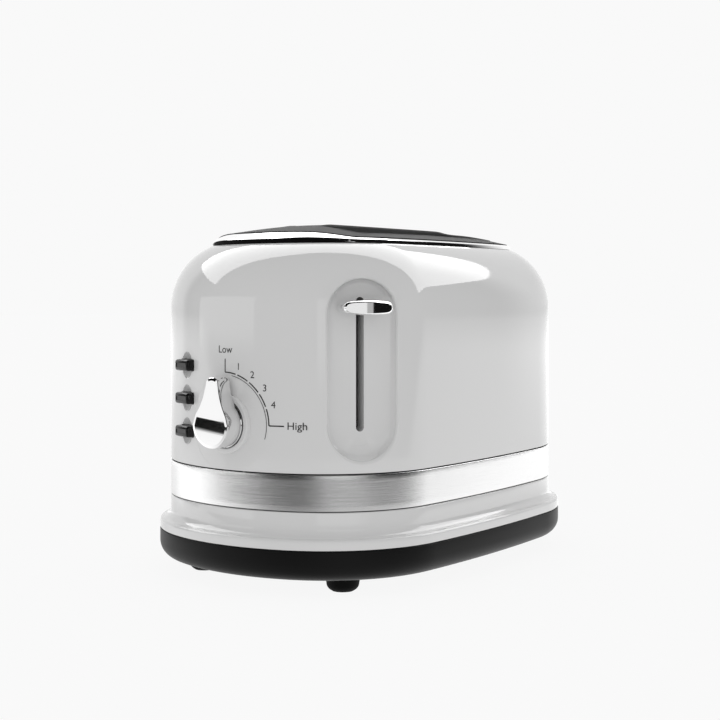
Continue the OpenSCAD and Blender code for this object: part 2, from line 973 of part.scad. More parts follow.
module armature() {
    color("slategray")
        span3([magnet_x - coil_radius, magnet_y - coil_radius / 2, armature_low],
            [magnet_x + coil_radius, bracket_y - sheet, armature_low + armature_thick]);
}

// Rail with cross bars that lifts the bread, from the bracket through both chassis plates
module bread_rack(x) {
    rail_top = rack_height - rack_bar / 2;
    color("silver")
        union() {
            span3([x - rack_thick / 2, bracket_y, rack_height - rack_rail],
                [x + rack_thick / 2, plate_reach + sheet + 2, rail_top]);
            for (i = [0 : rack_bars - 1])
                translate([x, (i / (rack_bars - 1) - 0.5) * (slot_length - 20), rail_top])
                    rotate([0, 90, 0])
                        cylinder(h = rack_bar_length, r = rack_bar / 2, center = true, $fn = 24);
        }
}

module left_rack() {
    bread_rack(-slot_x);
}

module right_rack() {
    bread_rack(slot_x);
}

module guide_rod() {
    color("gainsboro")
        translate([rod_x, rod_y, chassis_z])
            cylinder(h = chassis_height, r = rod_diameter / 2);
}

// Lift spring round the guide rod: rings of points along a helix with plain flat-lying ends
spring_sides = 6;
spring_steps = 8;
spring_rings = spring_turns * spring_steps;
spring_run = spring_length - spring_wire - 2 * clearance / 10;
function spring_turn(i) = 360 * i / spring_steps;
function spring_rise(i) = spring_low + spring_wire / 2 + clearance / 10 + spring_run * i / spring_rings;
function spring_point(i, j) =
    let (out = spring_radius + spring_wire / 2 * cos(360 * j / spring_sides))
    [out * cos(spring_turn(i)), out * sin(spring_turn(i)),
        spring_rise(i) + spring_wire / 2 * sin(360 * j / spring_sides)];
function ring_index(i, j) = i * spring_sides + j % spring_sides;
spring_gap = spring_run / spring_turns - spring_wire;
echo(least_gap_between_turns = spring_gap);

module lift_spring() {
    color("gray")
        translate([rod_x, rod_y, 0])
            polyhedron(
                points = [for (i = [0 : spring_rings], j = [0 : spring_sides - 1]) spring_point(i, j)],
                faces = [
                    [for (j = [0 : spring_sides - 1]) j],
                    for (i = [0 : spring_rings - 1], j = [0 : spring_sides - 1], k = [0, 1])
                        k == 0
                            ? [ring_index(i, j), ring_index(i + 1, j), ring_index(i + 1, j + 1)]
                            : [ring_index(i, j), ring_index(i + 1, j + 1), ring_index(i, j + 1)],
                    [for (j = [spring_sides - 1 : -1 : 0]) ring_index(spring_rings, j)]
                ]
            );
}

module magnet_core() {
    color("slategray")
        translate([magnet_x, magnet_y, core_low])
            union() {
                cylinder(h = core_top - core_low, r = core_radius);
                cylinder(h = 3, r = coil_radius);
            }
}

module magnet_coil() {
    color("peru")
        translate([magnet_x, magnet_y, coil_low])
            difference() {
                cylinder(h = coil_top - coil_low, r = coil_radius);
                translate([0, 0, -1])
                    cylinder(h = coil_top - coil_low + 2, r = core_radius + running_fit);
            }
}

// Cuts for the guide wires, from their open to their closed place
module guide_cuts() {
    play = guide_bar / 2 + clearance;
    for (s = [-1, 1], i = [-1, 1], z = [guide_low, guide_high]) {
        open = s * slot_x + i * guide_open;
        shut = s * slot_x + i * (guide_open - guide_travel);
        span3([min(open, shut) - play, -2 * sheet, z - play], [max(open, shut) + play, 2 * sheet, z + play]);
    }
}

// End plate of the chassis, drawn with its outer face towards -Y
module end_plate() {
    difference() {
        union() {
            span3([-chassis_width / 2, -sheet, chassis_z], [chassis_width / 2, 0, chassis_top]);
            for (s = [-1, 1])
                translate([s * post_x, 0, chassis_z])
                    span3([-8 - 1, -foot_tab, 0], [8, 0, sheet]);
            span3([-post_x - 8, -sheet, chassis_z], [post_x + 8, 0, chassis_z + 14]);
        }
        guide_cuts();
        for (x = [-slot_x, slot_x])
            span3([x - rack_slot / 2, -2 * sheet, rack_height - rack_rail - lever_travel - clearance],
                [x + rack_slot / 2, sheet, rack_height + clearance]);
        translate([0, plate_reach, 0])
            chassis_holes(screw_shaft / 2 + running_fit);
    }
}

module front_plate() {
    color("lightsteelblue")
        difference() {
            union() {
                translate([0, -plate_reach, 0])
                    end_plate();
                for (z = [rod_tab_low, rod_tab_high])
                    span3([rod_x - rod_tab / 2, rod_y - rod_tab / 2, z],
                        [rod_x + rod_tab / 2, -plate_reach, z + sheet]);
            }
            translate([rod_x, rod_y, chassis_z - 1])
                cylinder(h = chassis_height + 2, r = rod_diameter / 2 + running_fit);
        }
}

module rear_plate() {
    color("lightsteelblue")
        mirror([0, 1, 0])
            translate([0, -plate_reach, 0])
                end_plate();
}

module chassis_screws() {
    color("silver")
        for (x = [-post_x, post_x], y = [-post_y, post_y])
            translate([x, y, 0]) {
                translate([0, 0, floor_z + 4])
                    cylinder(h = post_height + sheet - 4 + eps, r = screw_shaft / 2);
                translate([0, 0, chassis_z + sheet])
                    cylinder(h = 2, r = screw_head / 2);
            }
}

module reflector(x) {
    color("gainsboro")
        span3([x - reflector_thick / 2, -plate_reach, board_low - 6],
            [x + reflector_thick / 2, plate_reach, board_high]);
}

module left_reflector() {
    reflector(-reflector_x);
}

module right_reflector() {
    reflector(reflector_x);
}

module heater_board(x) {
    color("tan")
        span3([x - board_thick / 2, -plate_reach, board_low], [x + board_thick / 2, plate_reach, board_high]);
}

module left_heater_board() {
    heater_board(-outer_board_x);
}

module middle_heater_board() {
    heater_board(0);
}

module right_heater_board() {
    heater_board(outer_board_x);
}

// One folded length of ribbon on the face of a board, with its links at alternate ends
module ribbon(face, towards) {
    reach = plate_reach - ribbon_margin;
    pitch = (board_high - board_low - 24) / (ribbon_runs - 1);
    low = board_low + 12;
    back = min(face, face + towards * ribbon_thick);
    color("orangered")
        translate([back, 0, 0])
            rotate([90, 0, 90])
                linear_extrude(ribbon_thick)
                    union() {
                        for (i = [0 : ribbon_runs - 1])
                            translate([0, low + i * pitch])
                                square([2 * reach, ribbon_width], center = true);
                        for (i = [0 : ribbon_runs - 2])
                            translate([(i % 2 == 0 ? 1 : -1) * (reach - ribbon_width / 2),
                                low + (i + 0.5) * pitch])
                                square([ribbon_width, pitch + ribbon_width], center = true);
                    }
}

module left_ribbon() {
    ribbon(-outer_board_x + board_thick / 2, 1);
}

module middle_left_ribbon() {
    ribbon(-board_thick / 2, -1);
}

module middle_right_ribbon() {
    ribbon(board_thick / 2, 1);
}

module right_ribbon() {
    ribbon(outer_board_x - board_thick / 2, -1);
}

// Upright wires between two rods that reach through the chassis plates
module bread_guide(x) {
    over = plate_reach + sheet + guide_over;
    color("silver")
        union() {
            for (z = [guide_low, guide_high])
                along_y(x, z, -over, over, guide_bar / 2);
            for (i = [0 : guide_wires - 1])
                translate([x, (i / (guide_wires - 1) - 0.5) * (slot_length - 10), guide_low])
                    cylinder(h = guide_high - guide_low, r = guide_wire / 2, $fn = 24);
        }
}

module left_outer_guide() {
    bread_guide(-slot_x - guide_open);
}

module left_inner_guide() {
    bread_guide(-slot_x + guide_open);
}

module right_inner_guide() {
    bread_guide(slot_x - guide_open);
}

module right_outer_guide() {
    bread_guide(slot_x + guide_open);
}

// The tray's outline, drawn in by a margin, from one level to another
module tray_block(margin, low, high) {
    w = tray_width / 2 - margin;
    span3([-w, tray_front + margin, low], [w, tray_rear - margin, high]);
}

module crumb_tray() {
    color("silver")
        difference() {
            tray_block(0, tray_z, tray_z + tray_height);
            tray_block(tray_wall, tray_z + tray_wall, tray_z + tray_height + 1);
        }
}

// Piece of the base's rear wall that comes out with the tray, with ribs to the tray and a tab to pull it by
module tray_door() {
    w = door_width / 2;
    tab = 18;
    rib_x = 20;
    rib_thick = 3;
    low = door_z + 2;
    high = door_z + 6;
    color("#202020") {
        intersection() {
            swept()
                base_profile(base_arc.x + 1);
            span3([-w, half_l - 20, door_z], [w, half_l + 2 * base_outset, door_z + door_height]);
        }
        difference() {
            span3([-tab, half_l + base_outset - wall, low], [tab, half_l + base_outset + tab_stand, high]);
            translate([0, end_centre, 0])
                cylinder(h = rim_z, r = end_radius + base_outset - wall / 2, $fn = 360);
        }
        intersection() {
            union()
                for (x = [-rib_x, rib_x])
                    span3([x - rib_thick / 2, tray_rear + clearance / 10, low],
                        [x + rib_thick / 2, half_l + base_outset, high]);
            translate([0, end_centre, 0])
                cylinder(h = rim_z, r = end_radius + base_outset - wall / 2, $fn = 360);
        }
    }
}

module cord_gland() {
    color("#202020")
        difference() {
            union() {
                along_y(0, gland_z, gland_y - 9, gland_y + 3, gland_body);
                difference() {
                    along_y(0, gland_z, gland_y - 2, gland_y + 3, gland_flange);
                    translate([0, end_centre, 0])
                        cylinder(h = rim_z, r = end_radius + eps, $fn = 360);
                }
            }
            along_y(0, gland_z, gland_y - 10, gland_y + 4, gland_bore / 2);
        }
}

module terminal_block() {
    color("ivory")
        span3([-terminal_size.x / 2, plate_reach + sheet, terminal_z],
            [terminal_size.x / 2, plate_reach + sheet + terminal_size.y, terminal_z + terminal_size.z]);
}

outer_shell();
band_carrier();
trim_band();
lower_skirt();
base_tray();
feet();
top_rim();
top_plate();
dial_collar();
browning_knob();
knob_shaft();
top_button();
middle_button();
lower_button();
switch_carrier();
push_switches();
control_board();
board_bracket();
board_screws();
potentiometer();
lever_grip();
lever_arm();
carriage_bracket();
slide_bush();
armature();
left_rack();
right_rack();
guide_rod();
lift_spring();
magnet_core();
magnet_coil();
front_plate();
rear_plate();
chassis_screws();
left_reflector();
right_reflector();
left_heater_board();
middle_heater_board();
right_heater_board();
left_ribbon();
middle_left_ribbon();
middle_right_ribbon();
right_ribbon();
left_outer_guide();
left_inner_guide();
right_inner_guide();
right_outer_guide();
crumb_tray();
tray_door();
cord_gland();
terminal_block();
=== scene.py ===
import json
from math import atan2, cos, pi, radians, sin, sqrt

import bmesh
import bpy
from mathutils import Matrix, Vector


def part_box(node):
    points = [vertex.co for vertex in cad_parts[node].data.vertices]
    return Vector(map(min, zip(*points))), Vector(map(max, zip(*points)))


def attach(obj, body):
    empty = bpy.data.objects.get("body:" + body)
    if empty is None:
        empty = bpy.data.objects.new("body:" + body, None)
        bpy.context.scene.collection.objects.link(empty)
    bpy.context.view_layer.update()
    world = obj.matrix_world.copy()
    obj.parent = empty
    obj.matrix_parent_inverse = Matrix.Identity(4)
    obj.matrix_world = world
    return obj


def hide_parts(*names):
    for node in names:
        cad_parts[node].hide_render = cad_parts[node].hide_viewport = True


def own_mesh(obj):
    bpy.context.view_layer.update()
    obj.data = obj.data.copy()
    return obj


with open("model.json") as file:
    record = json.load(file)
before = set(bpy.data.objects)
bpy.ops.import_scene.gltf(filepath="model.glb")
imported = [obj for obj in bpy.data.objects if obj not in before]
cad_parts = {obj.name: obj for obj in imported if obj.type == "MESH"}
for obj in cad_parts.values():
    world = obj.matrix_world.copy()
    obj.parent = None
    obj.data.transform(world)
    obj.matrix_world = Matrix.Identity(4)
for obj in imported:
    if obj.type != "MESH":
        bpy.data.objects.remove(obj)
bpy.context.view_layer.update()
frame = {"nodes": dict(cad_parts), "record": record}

cadNodes = frame["nodes"]
bpy.ops.object.select_all(action="DESELECT")
print("frame loaded:", len(cadNodes), "parts")


# camera at the photograph's place
cameraSet = {
    "place": (0.5247, -0.736, 0.170),
    "turn": 36.0,
    "lens": 68.98,
    "sensor": 36.0,
    "shift": (0.0057, -0.0917),
}
bpy.ops.object.camera_add(
    location=cameraSet["place"],
    rotation=(radians(90), 0, radians(cameraSet["turn"])),
)
camera = bpy.context.object
camera.data.lens = cameraSet["lens"]
camera.data.sensor_width = cameraSet["sensor"]
camera.data.shift_x, camera.data.shift_y = cameraSet["shift"]
bpy.context.scene.camera = camera
bpy.context.scene.view_settings.view_transform = "Standard"
print("camera set")


# small helpers for working as in the viewport
nearly = 1e-5  # places that count as the same when faces are picked
mergeWithin = 1e-6


def clearSelect():
    bpy.ops.object.select_all(action="DESELECT")


def onlySelect(piece):
    clearSelect()
    piece.select_set(True)
    bpy.context.view_layer.objects.active = piece


def selectMesh(action="SELECT"):
    bpy.ops.mesh.select_all(action=action)


def startEdit(piece, kind="VERT"):
    onlySelect(piece)
    bpy.ops.object.mode_set(mode="EDIT")
    bpy.ops.mesh.select_mode(type=kind)


def endEdit():
    bpy.ops.object.mode_set(mode="OBJECT")


def pickFaces(piece, test):
    selectMesh("DESELECT")
    mesh = bmesh.from_edit_mesh(piece.data)
    found = [face for face in mesh.faces if test(face)]
    for face in found:
        face.select_set(True)
    bmesh.update_edit_mesh(piece.data)
    return len(found)


def addModifier(piece, kind, **values):
    modifier = piece.modifiers.new(kind.title(), kind)
    for key, value in values.items():
        setattr(modifier, key, value)
    onlySelect(piece)
    bpy.ops.object.modifier_apply(modifier=modifier.name)


def carve(piece, tool, operation="DIFFERENCE"):
    addModifier(piece, "BOOLEAN", operation=operation, solver="EXACT", object=tool)
    bpy.data.objects.remove(tool)


def closeUp(piece, caps=False):
    startEdit(piece)
    selectMesh()
    bpy.ops.mesh.remove_doubles(threshold=mergeWithin)
    if caps:
        bpy.ops.mesh.fill_holes(sides=0)
        selectMesh()
    bpy.ops.mesh.normals_make_consistent(inside=False)
    endEdit()


def placedGrid(name, columns, rows, place, caps=False):
    # a grid whose points are laid on a surface, column by column and row by row
    clearSelect()
    bpy.ops.mesh.primitive_grid_add(x_subdivisions=columns, y_subdivisions=rows, size=1)
    piece = bpy.context.object
    piece.name = name
    for index, vertex in enumerate(piece.data.vertices):
        vertex.co = place(index % (columns + 1), index // (columns + 1))
    piece.data.update()
    closeUp(piece, caps)
    return piece


def softBox(name, low, high, bend=0.0, segments=4):
    # a box, with its edges bevelled if asked
    clearSelect()
    low, high = Vector(low), Vector(high)
    bpy.ops.mesh.primitive_cube_add(size=1, location=(low + high) / 2, scale=high - low)
    bpy.ops.object.transform_apply(location=True, rotation=True, scale=True)
    piece = bpy.context.object
    piece.name = name
    if bend:
        startEdit(piece, "EDGE")
        selectMesh()
        bpy.ops.mesh.bevel(offset=bend, segments=segments, affect="EDGES")
        endEdit()
    return piece


def joinTo(piece, others):
    onlySelect(piece)
    for other in others:
        other.select_set(True)
    bpy.ops.object.join()


def copyOf(piece, name):
    onlySelect(piece)
    bpy.ops.object.duplicate(linked=False)
    bpy.context.object.name = name
    return bpy.context.object


def dress(piece, body, slot, *nodes, sharp=40, finish=None):
    # smooth up to an angle, give the finish, hang the piece on its body, and hide the frame's
    # parts that it stands for
    if sharp:
        onlySelect(piece)
        bpy.ops.object.shade_smooth_by_angle(angle=radians(sharp))
    piece.data.materials.clear()
    piece.data.materials.append(finish or finishes[slot])
    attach(piece, body)
    if nodes:
        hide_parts(*nodes)
    print("made:", piece.name, len(piece.data.polygons), "faces")


# shader maths: a socket that takes part in Python sums, and one way to add any other node
class Wire:
    def __init__(self, tree, socket=None):
        self.tree = tree
        self.socket = socket

    def node(self, kind, settings=None, inputs=None, out=0):
        made = self.tree.nodes.new(kind)
        for key, value in (settings or {}).items():
            setattr(made, key, value)
        for key, value in (inputs or {}).items():
            if isinstance(value, Wire):
                self.tree.links.new(value.socket, made.inputs[key])
            else:
                made.inputs[key].default_value = value
        return Wire(self.tree, made.outputs[out] if len(made.outputs) else None)

    def sum(self, operation, first, second):
        return self.node("ShaderNodeMath", {"operation": operation}, {0: first, 1: second})

    def __add__(self, other):
        return self.sum("ADD", self, other)

    __radd__ = __add__

    def __sub__(self, other):
        return self.sum("SUBTRACT", self, other)

    def __rsub__(self, other):
        return self.sum("SUBTRACT", other, self)

    def __mul__(self, other):
        return self.sum("MULTIPLY", self, other)

    __rmul__ = __mul__


def blankTree(owner):
    owner.use_nodes = True
    owner.node_tree.nodes.clear()
    return Wire(owner.node_tree)


def grey(level):
    return (level, level, level, 1)


def newFinish(name, paint, **fixed):
    # paint gives what changes over the surface, fixed what is the same all over
    finish = bpy.data.materials.new(name)
    wire = blankTree(finish)
    place = wire.node("ShaderNodeTexCoord", out="Object")
    sockets = {key.replace("_", " "): value for key, value in fixed.items()}
    sockets.update(paint(wire, place))
    surface = wire.node("ShaderNodeBsdfPrincipled", {}, sockets)
    wire.node("ShaderNodeOutputMaterial", {}, {"Surface": surface})
    return finish


def noise(wire, place, scale, detail=2.0, stretch=None):
    if stretch:
        place = wire.node("ShaderNodeMapping", {}, {"Vector": place, "Scale": stretch})
    return wire.node("ShaderNodeTexNoise", {}, {"Vector": place, "Scale": scale, "Detail": detail})


def coat(wire, share, dark, light, rough, relief, depth, distance=0.0002):
    # two tones, a roughness and a fine relief
    tones = {"Factor": share, 6: dark, 7: light}
    bumps = {"Height": relief, "Strength": depth, "Distance": distance}
    return {
        "Base Color": wire.node("ShaderNodeMix", {"data_type": "RGBA"}, tones, out=2),
        "Roughness": rough,
        "Normal": wire.node("ShaderNodeBump", {}, bumps),
    }


def cloudy(name, dark, light, clouds, grain, depth, rough, byClouds=0, byGrain=0, **fixed):
    # a slow drift of tone over a fine grain, and a polish that follows one of the two;
    # clouds and grain are a scale and a detail
    def paint(wire, place):
        slow, fine = noise(wire, place, *clouds), noise(wire, place, *grain)
        polish = rough + (byClouds * slow if byClouds else byGrain * fine)
        return coat(wire, slow, dark, light, polish, relief=fine, depth=depth)

    return newFinish(name, paint, **fixed)


def plastic(name, dark, light, rough, scale, depth, drift=0.08, **fixed):
    # moulded plastic, its polish a little above and below what is asked
    return cloudy(
        name, dark, light, clouds=(14, 2), grain=(scale, 3), depth=depth,
        rough=rough - drift / 2, byClouds=drift, **fixed)


def sheet(name, dark, light, rough, stretch, depth, **fixed):
    # rolled or drawn metal: streaks along one direction and faint handling marks
    def paint(wire, place):
        streak = noise(wire, place, scale=900, stretch=stretch)
        slow = noise(wire, place, scale=22, detail=4)
        polish = rough + 0.1 * (slow - 0.5) + 0.06 * (streak - 0.5)
        return coat(wire, streak, grey(dark), grey(light), polish, relief=streak, depth=depth)

    return newFinish(name, paint, **fixed)


def brushedBand(wire, place):
    streak = noise(wire, place, scale=60, detail=3, stretch=(0.4, 0.4, 60))
    fine = noise(wire, place, scale=160, stretch=(0.25, 0.25, 50))
    polish = 0.24 + 0.1 * (streak - 0.5)
    return coat(wire, streak, grey(0.74), grey(0.86), polish, relief=streak + fine, depth=0.12)


def windings(wire, place):
    sockets = {"Vector": place, "Scale": 700.0, "Distortion": 0.4}
    turns = wire.node("ShaderNodeTexWave", {"bands_direction": "Z"}, sockets)
    dark, light = (0.30, 0.11, 0.04, 1), (0.72, 0.34, 0.14, 1)
    return coat(wire, turns, dark, light, rough=0.3 + 0.15 * turns, relief=turns, depth=0.5)


def boardGreen(wire, place):
    sockets = {"Vector": place, "Scale": 160.0}
    cells = wire.node("ShaderNodeTexVoronoi", {"distance": "CHEBYCHEV"}, sockets)
    tracks = wire.sum("LESS_THAN", cells, 0.42)
    dark, light = (0.012, 0.06, 0.03, 1), (0.03, 0.13, 0.06, 1)
    return coat(wire, tracks, dark, light, rough=0.35 + 0.1 * tracks, relief=tracks, depth=0.2)


# plastics: two tones, roughness, grain's scale, depth
# sheets: two greys, roughness, stretch of the streaks, depth
terminalTones = (0.55, 0.53, 0.47, 1), (0.64, 0.62, 0.56, 1)
alongX, alongY, alongZ = (0.03, 1, 1), (1, 0.03, 1), (1, 1, 0.03)
finishes = {
    "white_shell": cloudy(
        "whiteGloss", grey(0.79), (0.81, 0.81, 0.808, 1), clouds=(9, 2), grain=(320, 1),
        depth=0.02, rough=0.03, byClouds=0.015, IOR=1.5),
    "brushed_band": newFinish("brushedBand", brushedBand, Metallic=1.0, Anisotropic=0.6),
    "black_base": plastic(
        "blackBase", grey(0.006), grey(0.010), 0.42, 900, 0.12, Specular_IOR_Level=0.12),
    "rubber_foot": plastic(
        "rubberFoot", grey(0.003), grey(0.005), 0.7, 700, 0.3, Specular_IOR_Level=0.1),
    "bright_chrome": cloudy(
        "brightChrome", grey(0.88), grey(0.93), clouds=(18, 2), grain=(60, 3),
        depth=0.01, rough=0.035, byGrain=0.04, Metallic=1.0),
    "satin_top": sheet(
        "satinTop", 0.125, 0.15, 0.6, (1, 0.02, 1), 0.05, Specular_IOR_Level=0.04),
    "black_button": plastic(
        "blackButton", grey(0.004), grey(0.007), 0.22, 800, 0.05, Specular_IOR_Level=0.3),
    "dark_plastic": plastic("darkPlastic", grey(0.02), grey(0.035), 0.5, 600, 0.2),
    "circuit_board": newFinish("circuitBoard", boardGreen),
    "pot_case": sheet("potCase", 0.4, 0.52, 0.35, None, 0.1, Metallic=1.0),
    "bare_steel": sheet("bareSteel", 0.42, 0.56, 0.3, alongZ, 0.12, Metallic=1.0),
    "plated_sheet": sheet("platedSheet", 0.5, 0.62, 0.28, alongX, 0.12, Metallic=1.0),
    "tray_sheet": sheet("traySheet", 0.5, 0.6, 0.32, alongY, 0.12, Metallic=1.0),
    "mica": cloudy(
        "micaSheet", (0.42, 0.36, 0.27, 1), (0.60, 0.54, 0.43, 1), clouds=(20, 3),
        grain=(180, 5), depth=0.2, rough=0.45, byGrain=0.2),
    "heater_ribbon": sheet("heaterRibbon", 0.2, 0.32, 0.42, alongY, 0.2, Metallic=1.0),
    "copper_winding": newFinish("copperWinding", windings, Metallic=0.6),
    "terminal_plastic": plastic("terminalPlastic", *terminalTones, 0.45, 500, 0.15),
}
dialInk = plastic("dialInk", grey(0.012), grey(0.02), 0.5, 900, 0.05)
print("finishes made:", len(finishes))

for subpart in frame["record"]["subparts"]:
    for materialSlot in cadNodes[subpart["node"]].material_slots:
        materialSlot.material = finishes[subpart["material_slot"]]


# plan of the body: bowed ends, bowed sides and round corners that meet without a kink
plan = {
    "cornerRadius": 0.077024,
    "endRadius": 0.113024,
    "sideRadius": 0.877024,
    "corner": (0.012672, 0.060672),
    "endCentre": 0.026976,
    "sideCentre": -0.785024,
    "sideSeam": atan2(237, 3116),
    "endSeam": pi / 2 - atan2(44, 117),
    "steps": {"side": 28, "corner": 48, "end": 36},
}


def planRays():
    # half way round the outline, then the same again, turned about the middle
    (x, y), side, end = plan["corner"], plan["sideSeam"], plan["endSeam"]
    stretches = [
        ("side", (plan["sideCentre"], 0), -side, side),
        ("corner", (x, y), side, end),
        ("end", (0, plan["endCentre"]), end, pi - end),
        ("corner", (-x, y), pi - end, pi - side),
    ]
    rays = []
    for way, start in ((1, 0), (-1, pi)):
        for kind, centre, first, last in stretches:
            middle, steps = (way * centre[0], way * centre[1]), plan["steps"][kind]
            for step in range(steps):
                angle = start + first + (last - first) * step / steps
                rays.append((middle, plan[kind + "Radius"], angle))
    return rays


bodyRays = planRays()


def onPlan(ray, inset, height):
    centre, radius, angle = ray
    reach = radius - inset
    return Vector((centre[0] + reach * cos(angle), centre[1] + reach * sin(angle), height))


def planSpot(x, y):
    # the ray of the outline that a point lies on, and how far in it lies
    x, y = abs(x), abs(y)
    centre, kind = plan["corner"], "corner"
    if atan2(y, x - plan["sideCentre"]) <= plan["sideSeam"]:
        centre, kind = (plan["sideCentre"], 0), "side"
    elif y > plan["endCentre"] and atan2(y - plan["endCentre"], x) >= plan["endSeam"]:
        centre, kind = (0, plan["endCentre"]), "end"
    away = Vector((x - centre[0], y - centre[1]))
    radius = plan[kind + "Radius"]
    return (centre, radius, atan2(away.y, away.x)), radius - away.length


def rolled(name, profile, closed=False, caps=False, middle=False):
    # a profile of (inset, height), the same all round or worked out for each ray, carried once
    # round the body, and drawn in to the middle line if asked
    lines = []
    for ray in bodyRays:
        rows = list(profile(ray) if callable(profile) else profile)
        rows += rows[:1] if closed else []
        lines.append(rows + rows[-1:] if middle else rows)
    count, last = len(bodyRays), len(lines[0]) - 1

    def place(column, row):
        index = column % count
        spot = onPlan(bodyRays[index], *lines[index][row])
        if middle and row == last:
            spot.x = 0.0
        return spot

    return placedGrid(name, count, last, place, caps)


def arc(centre, radius, first, last, steps):
    angles = [radians(first + (last - first) * i / steps) for i in range(steps + 1)]
    return [(centre[0] + radius * cos(a), centre[1] + radius * sin(a)) for a in angles]


def turned(name, profile, height=None, steps=64):
    # a profile of (radius, distance) turned about a line along Y at a height, or about Z
    def place(column, row):
        angle = 2 * pi * column / steps
        radius, distance = profile[row]
        if height is None:
            return Vector((radius * cos(angle), radius * sin(angle), distance))
        return Vector((radius * sin(angle), distance, height + radius * cos(angle)))

    return placedGrid(name, steps, len(profile) - 1, place)


def roundedRays(wide, high, bend, turns, acrossSteps=1, alongSteps=1):
    # points round a rectangle with round corners, each corner with the straight that follows it
    corners = ((1, 1), (-1, 1), (-1, -1), (1, -1))

    def onTurn(corner, angle):
        x, y = corners[corner % 4]
        return x * (wide - bend) + bend * cos(angle), y * (high - bend) + bend * sin(angle)

    spots = []
    for index in range(4):
        spots += [onTurn(index, pi / 2 * (index + step / turns)) for step in range(turns)]
        ends = [onTurn(corner, pi / 2 * (index + 1)) for corner in (index, index + 1)]
        steps = alongSteps if index % 2 else acrossSteps
        for share in (step / steps for step in range(steps)):
            spots.append(tuple(a + (b - a) * share for a, b in zip(*ends)))
    return spots


def prism(name, matrix, outline, ends):
    # an outline of (y, z) in a frame of its own, drawn out between two places along its x
    def place(column, row):
        return matrix @ Vector((ends[row], *outline[column % len(outline)]))

    return placedGrid(name, len(outline), 1, place, caps=True)


# places on the housing, read from the frame
shellLow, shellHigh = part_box("outer_shell")
bandLow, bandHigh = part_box("trim_band")
skirtLow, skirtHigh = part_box("lower_skirt")
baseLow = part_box("base_tray")[0]
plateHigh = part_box("top_plate")[1]
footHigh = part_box("feet")[1]
glandLow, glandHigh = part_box("cord_gland")
frontY, backY = shellLow.y, shellHigh.y
glandZ = (glandLow.z + glandHigh.z) / 2


# outer shell
shellSet = {
    "shoulder": 0.041,
    "rimInset": 0.02465,
    "ledge": 0.029,
    "wall": 0.0018,
    "edge": 0.0008,
    "wallRows": 12,
    "shoulderSteps": 20,
}
shoulderLow = shellHigh.z - sqrt(
    shellSet["shoulder"] ** 2 - (shellSet["shoulder"] - shellSet["rimInset"]) ** 2)


def shellInset(height):
    above = max(0.0, height - shoulderLow)
    return shellSet["shoulder"] - sqrt(max(0.0, shellSet["shoulder"] ** 2 - above ** 2))


def shellProfile():
    edge, low = shellSet["edge"], shellLow.z
    wallRows, turns = shellSet["wallRows"], shellSet["shoulderSteps"]
    rows = arc((edge, low + edge), edge, 270, 180, steps=5)
    for step in range(1, wallRows):
        rows.append((0.0, low + edge + (shoulderLow - low - edge) * step / wallRows))
    for step in range(turns + 1):
        height = shoulderLow + (shellHigh.z - shoulderLow) * sin(pi / 2 * step / turns)
        rows.append((shellInset(height), height))
    return rows + [(shellSet["ledge"], shellHigh.z)]


# the recess that the lever runs in, in a frame whose x points out of the corner
recessSet = {
    "angle": 52.5,
    "width": 0.0404,
    "low": 0.0759,
    "high": 0.1784,
    "floor": 0.069024,
    "floorRings": (0.008, 0.014, 0.0195),
    "scoop": 0.008,
    "flare": 0.0022,
    "flareStart": 14,
    "flareSteps": 10,
    "floorRound": 0.003,
    "floorSteps": 6,
    "turnSteps": 48,
    "sideSteps": 20,
    "slotWidth": 0.0047,
    "slotLow": 0.0921,
    "slotHigh": 0.1683,
    "slotSteps": (16, 4),
}
overrun = 0.01  # how far the wide cutters reach past the skin
leverFrame = (
    Matrix.Translation((plan["corner"][0], -plan["corner"][1], 0))
    @ Matrix.Rotation(radians(recessSet["angle"] - 90), 4, "Z"))


def pillRays(width, low, high, turnSteps, sideSteps):
    # points and outward directions round an upright slot shape
    half = width / 2
    rays = []
    for way, first, last in ((1, high - half, low + half), (-1, low + half, high - half)):
        for step in range(turnSteps):
            angle = pi * step / turnSteps
            outY, outZ = way * cos(angle), way * sin(angle)
            rays.append((half * outY, first + half * outZ, outY, outZ))
        for step in range(sideSteps):
            share = step / sideSteps
            rays.append((-way * half, first + (last - first) * share, -way, 0))
    return rays


def recessCutter():
    rays = pillRays(
        recessSet["width"], recessSet["low"], recessSet["high"],
        recessSet["turnSteps"], recessSet["sideSteps"])
    flare, start = recessSet["flare"], radians(recessSet["flareStart"])
    floor, bend, scoop = recessSet["floor"], recessSet["floorRound"], recessSet["scoop"]
    flareSteps, floorSteps = recessSet["flareSteps"], recessSet["floorSteps"]
    rows = [("out", flare, 0.0)]
    for step in range(flareSteps + 1):
        turn = pi / 2 * step / flareSteps
        rows.append(("rim", flare * (1 - sin(turn)), flare * (cos(start) - cos(turn))))
    for step in range(floorSteps + 1):
        turn = pi / 2 * step / floorSteps
        rows.append(("floor", -bend * (1 - cos(turn)), floor + bend * (1 - sin(turn))))
    rows += [("floor", -inset, floor) for inset in recessSet["floorRings"]]
    rimEnd = flare * cos(start)

    def place(column, row):
        y, z, outY, outZ = rays[column % len(rays)]
        kind, grow, value = rows[row]
        y, z = y + outY * grow, z + outZ * grow
        skin = sqrt((plan["cornerRadius"] - shellInset(z)) ** 2 - y * y)
        if kind == "out":
            x = plan["cornerRadius"] + overrun
        elif kind == "rim":
            x = skin - value
        else:
            rise = min(scoop, max(0.0, recessSet["low"] + scoop - z))
            ramp = floor + scoop - sqrt(scoop * scoop - rise * rise)
            x = max(value, min(ramp, skin - rimEnd))
        return leverFrame @ Vector((x, y, z))

    return placedGrid("recessCutter", len(rays), len(rows) - 1, place, caps=True)


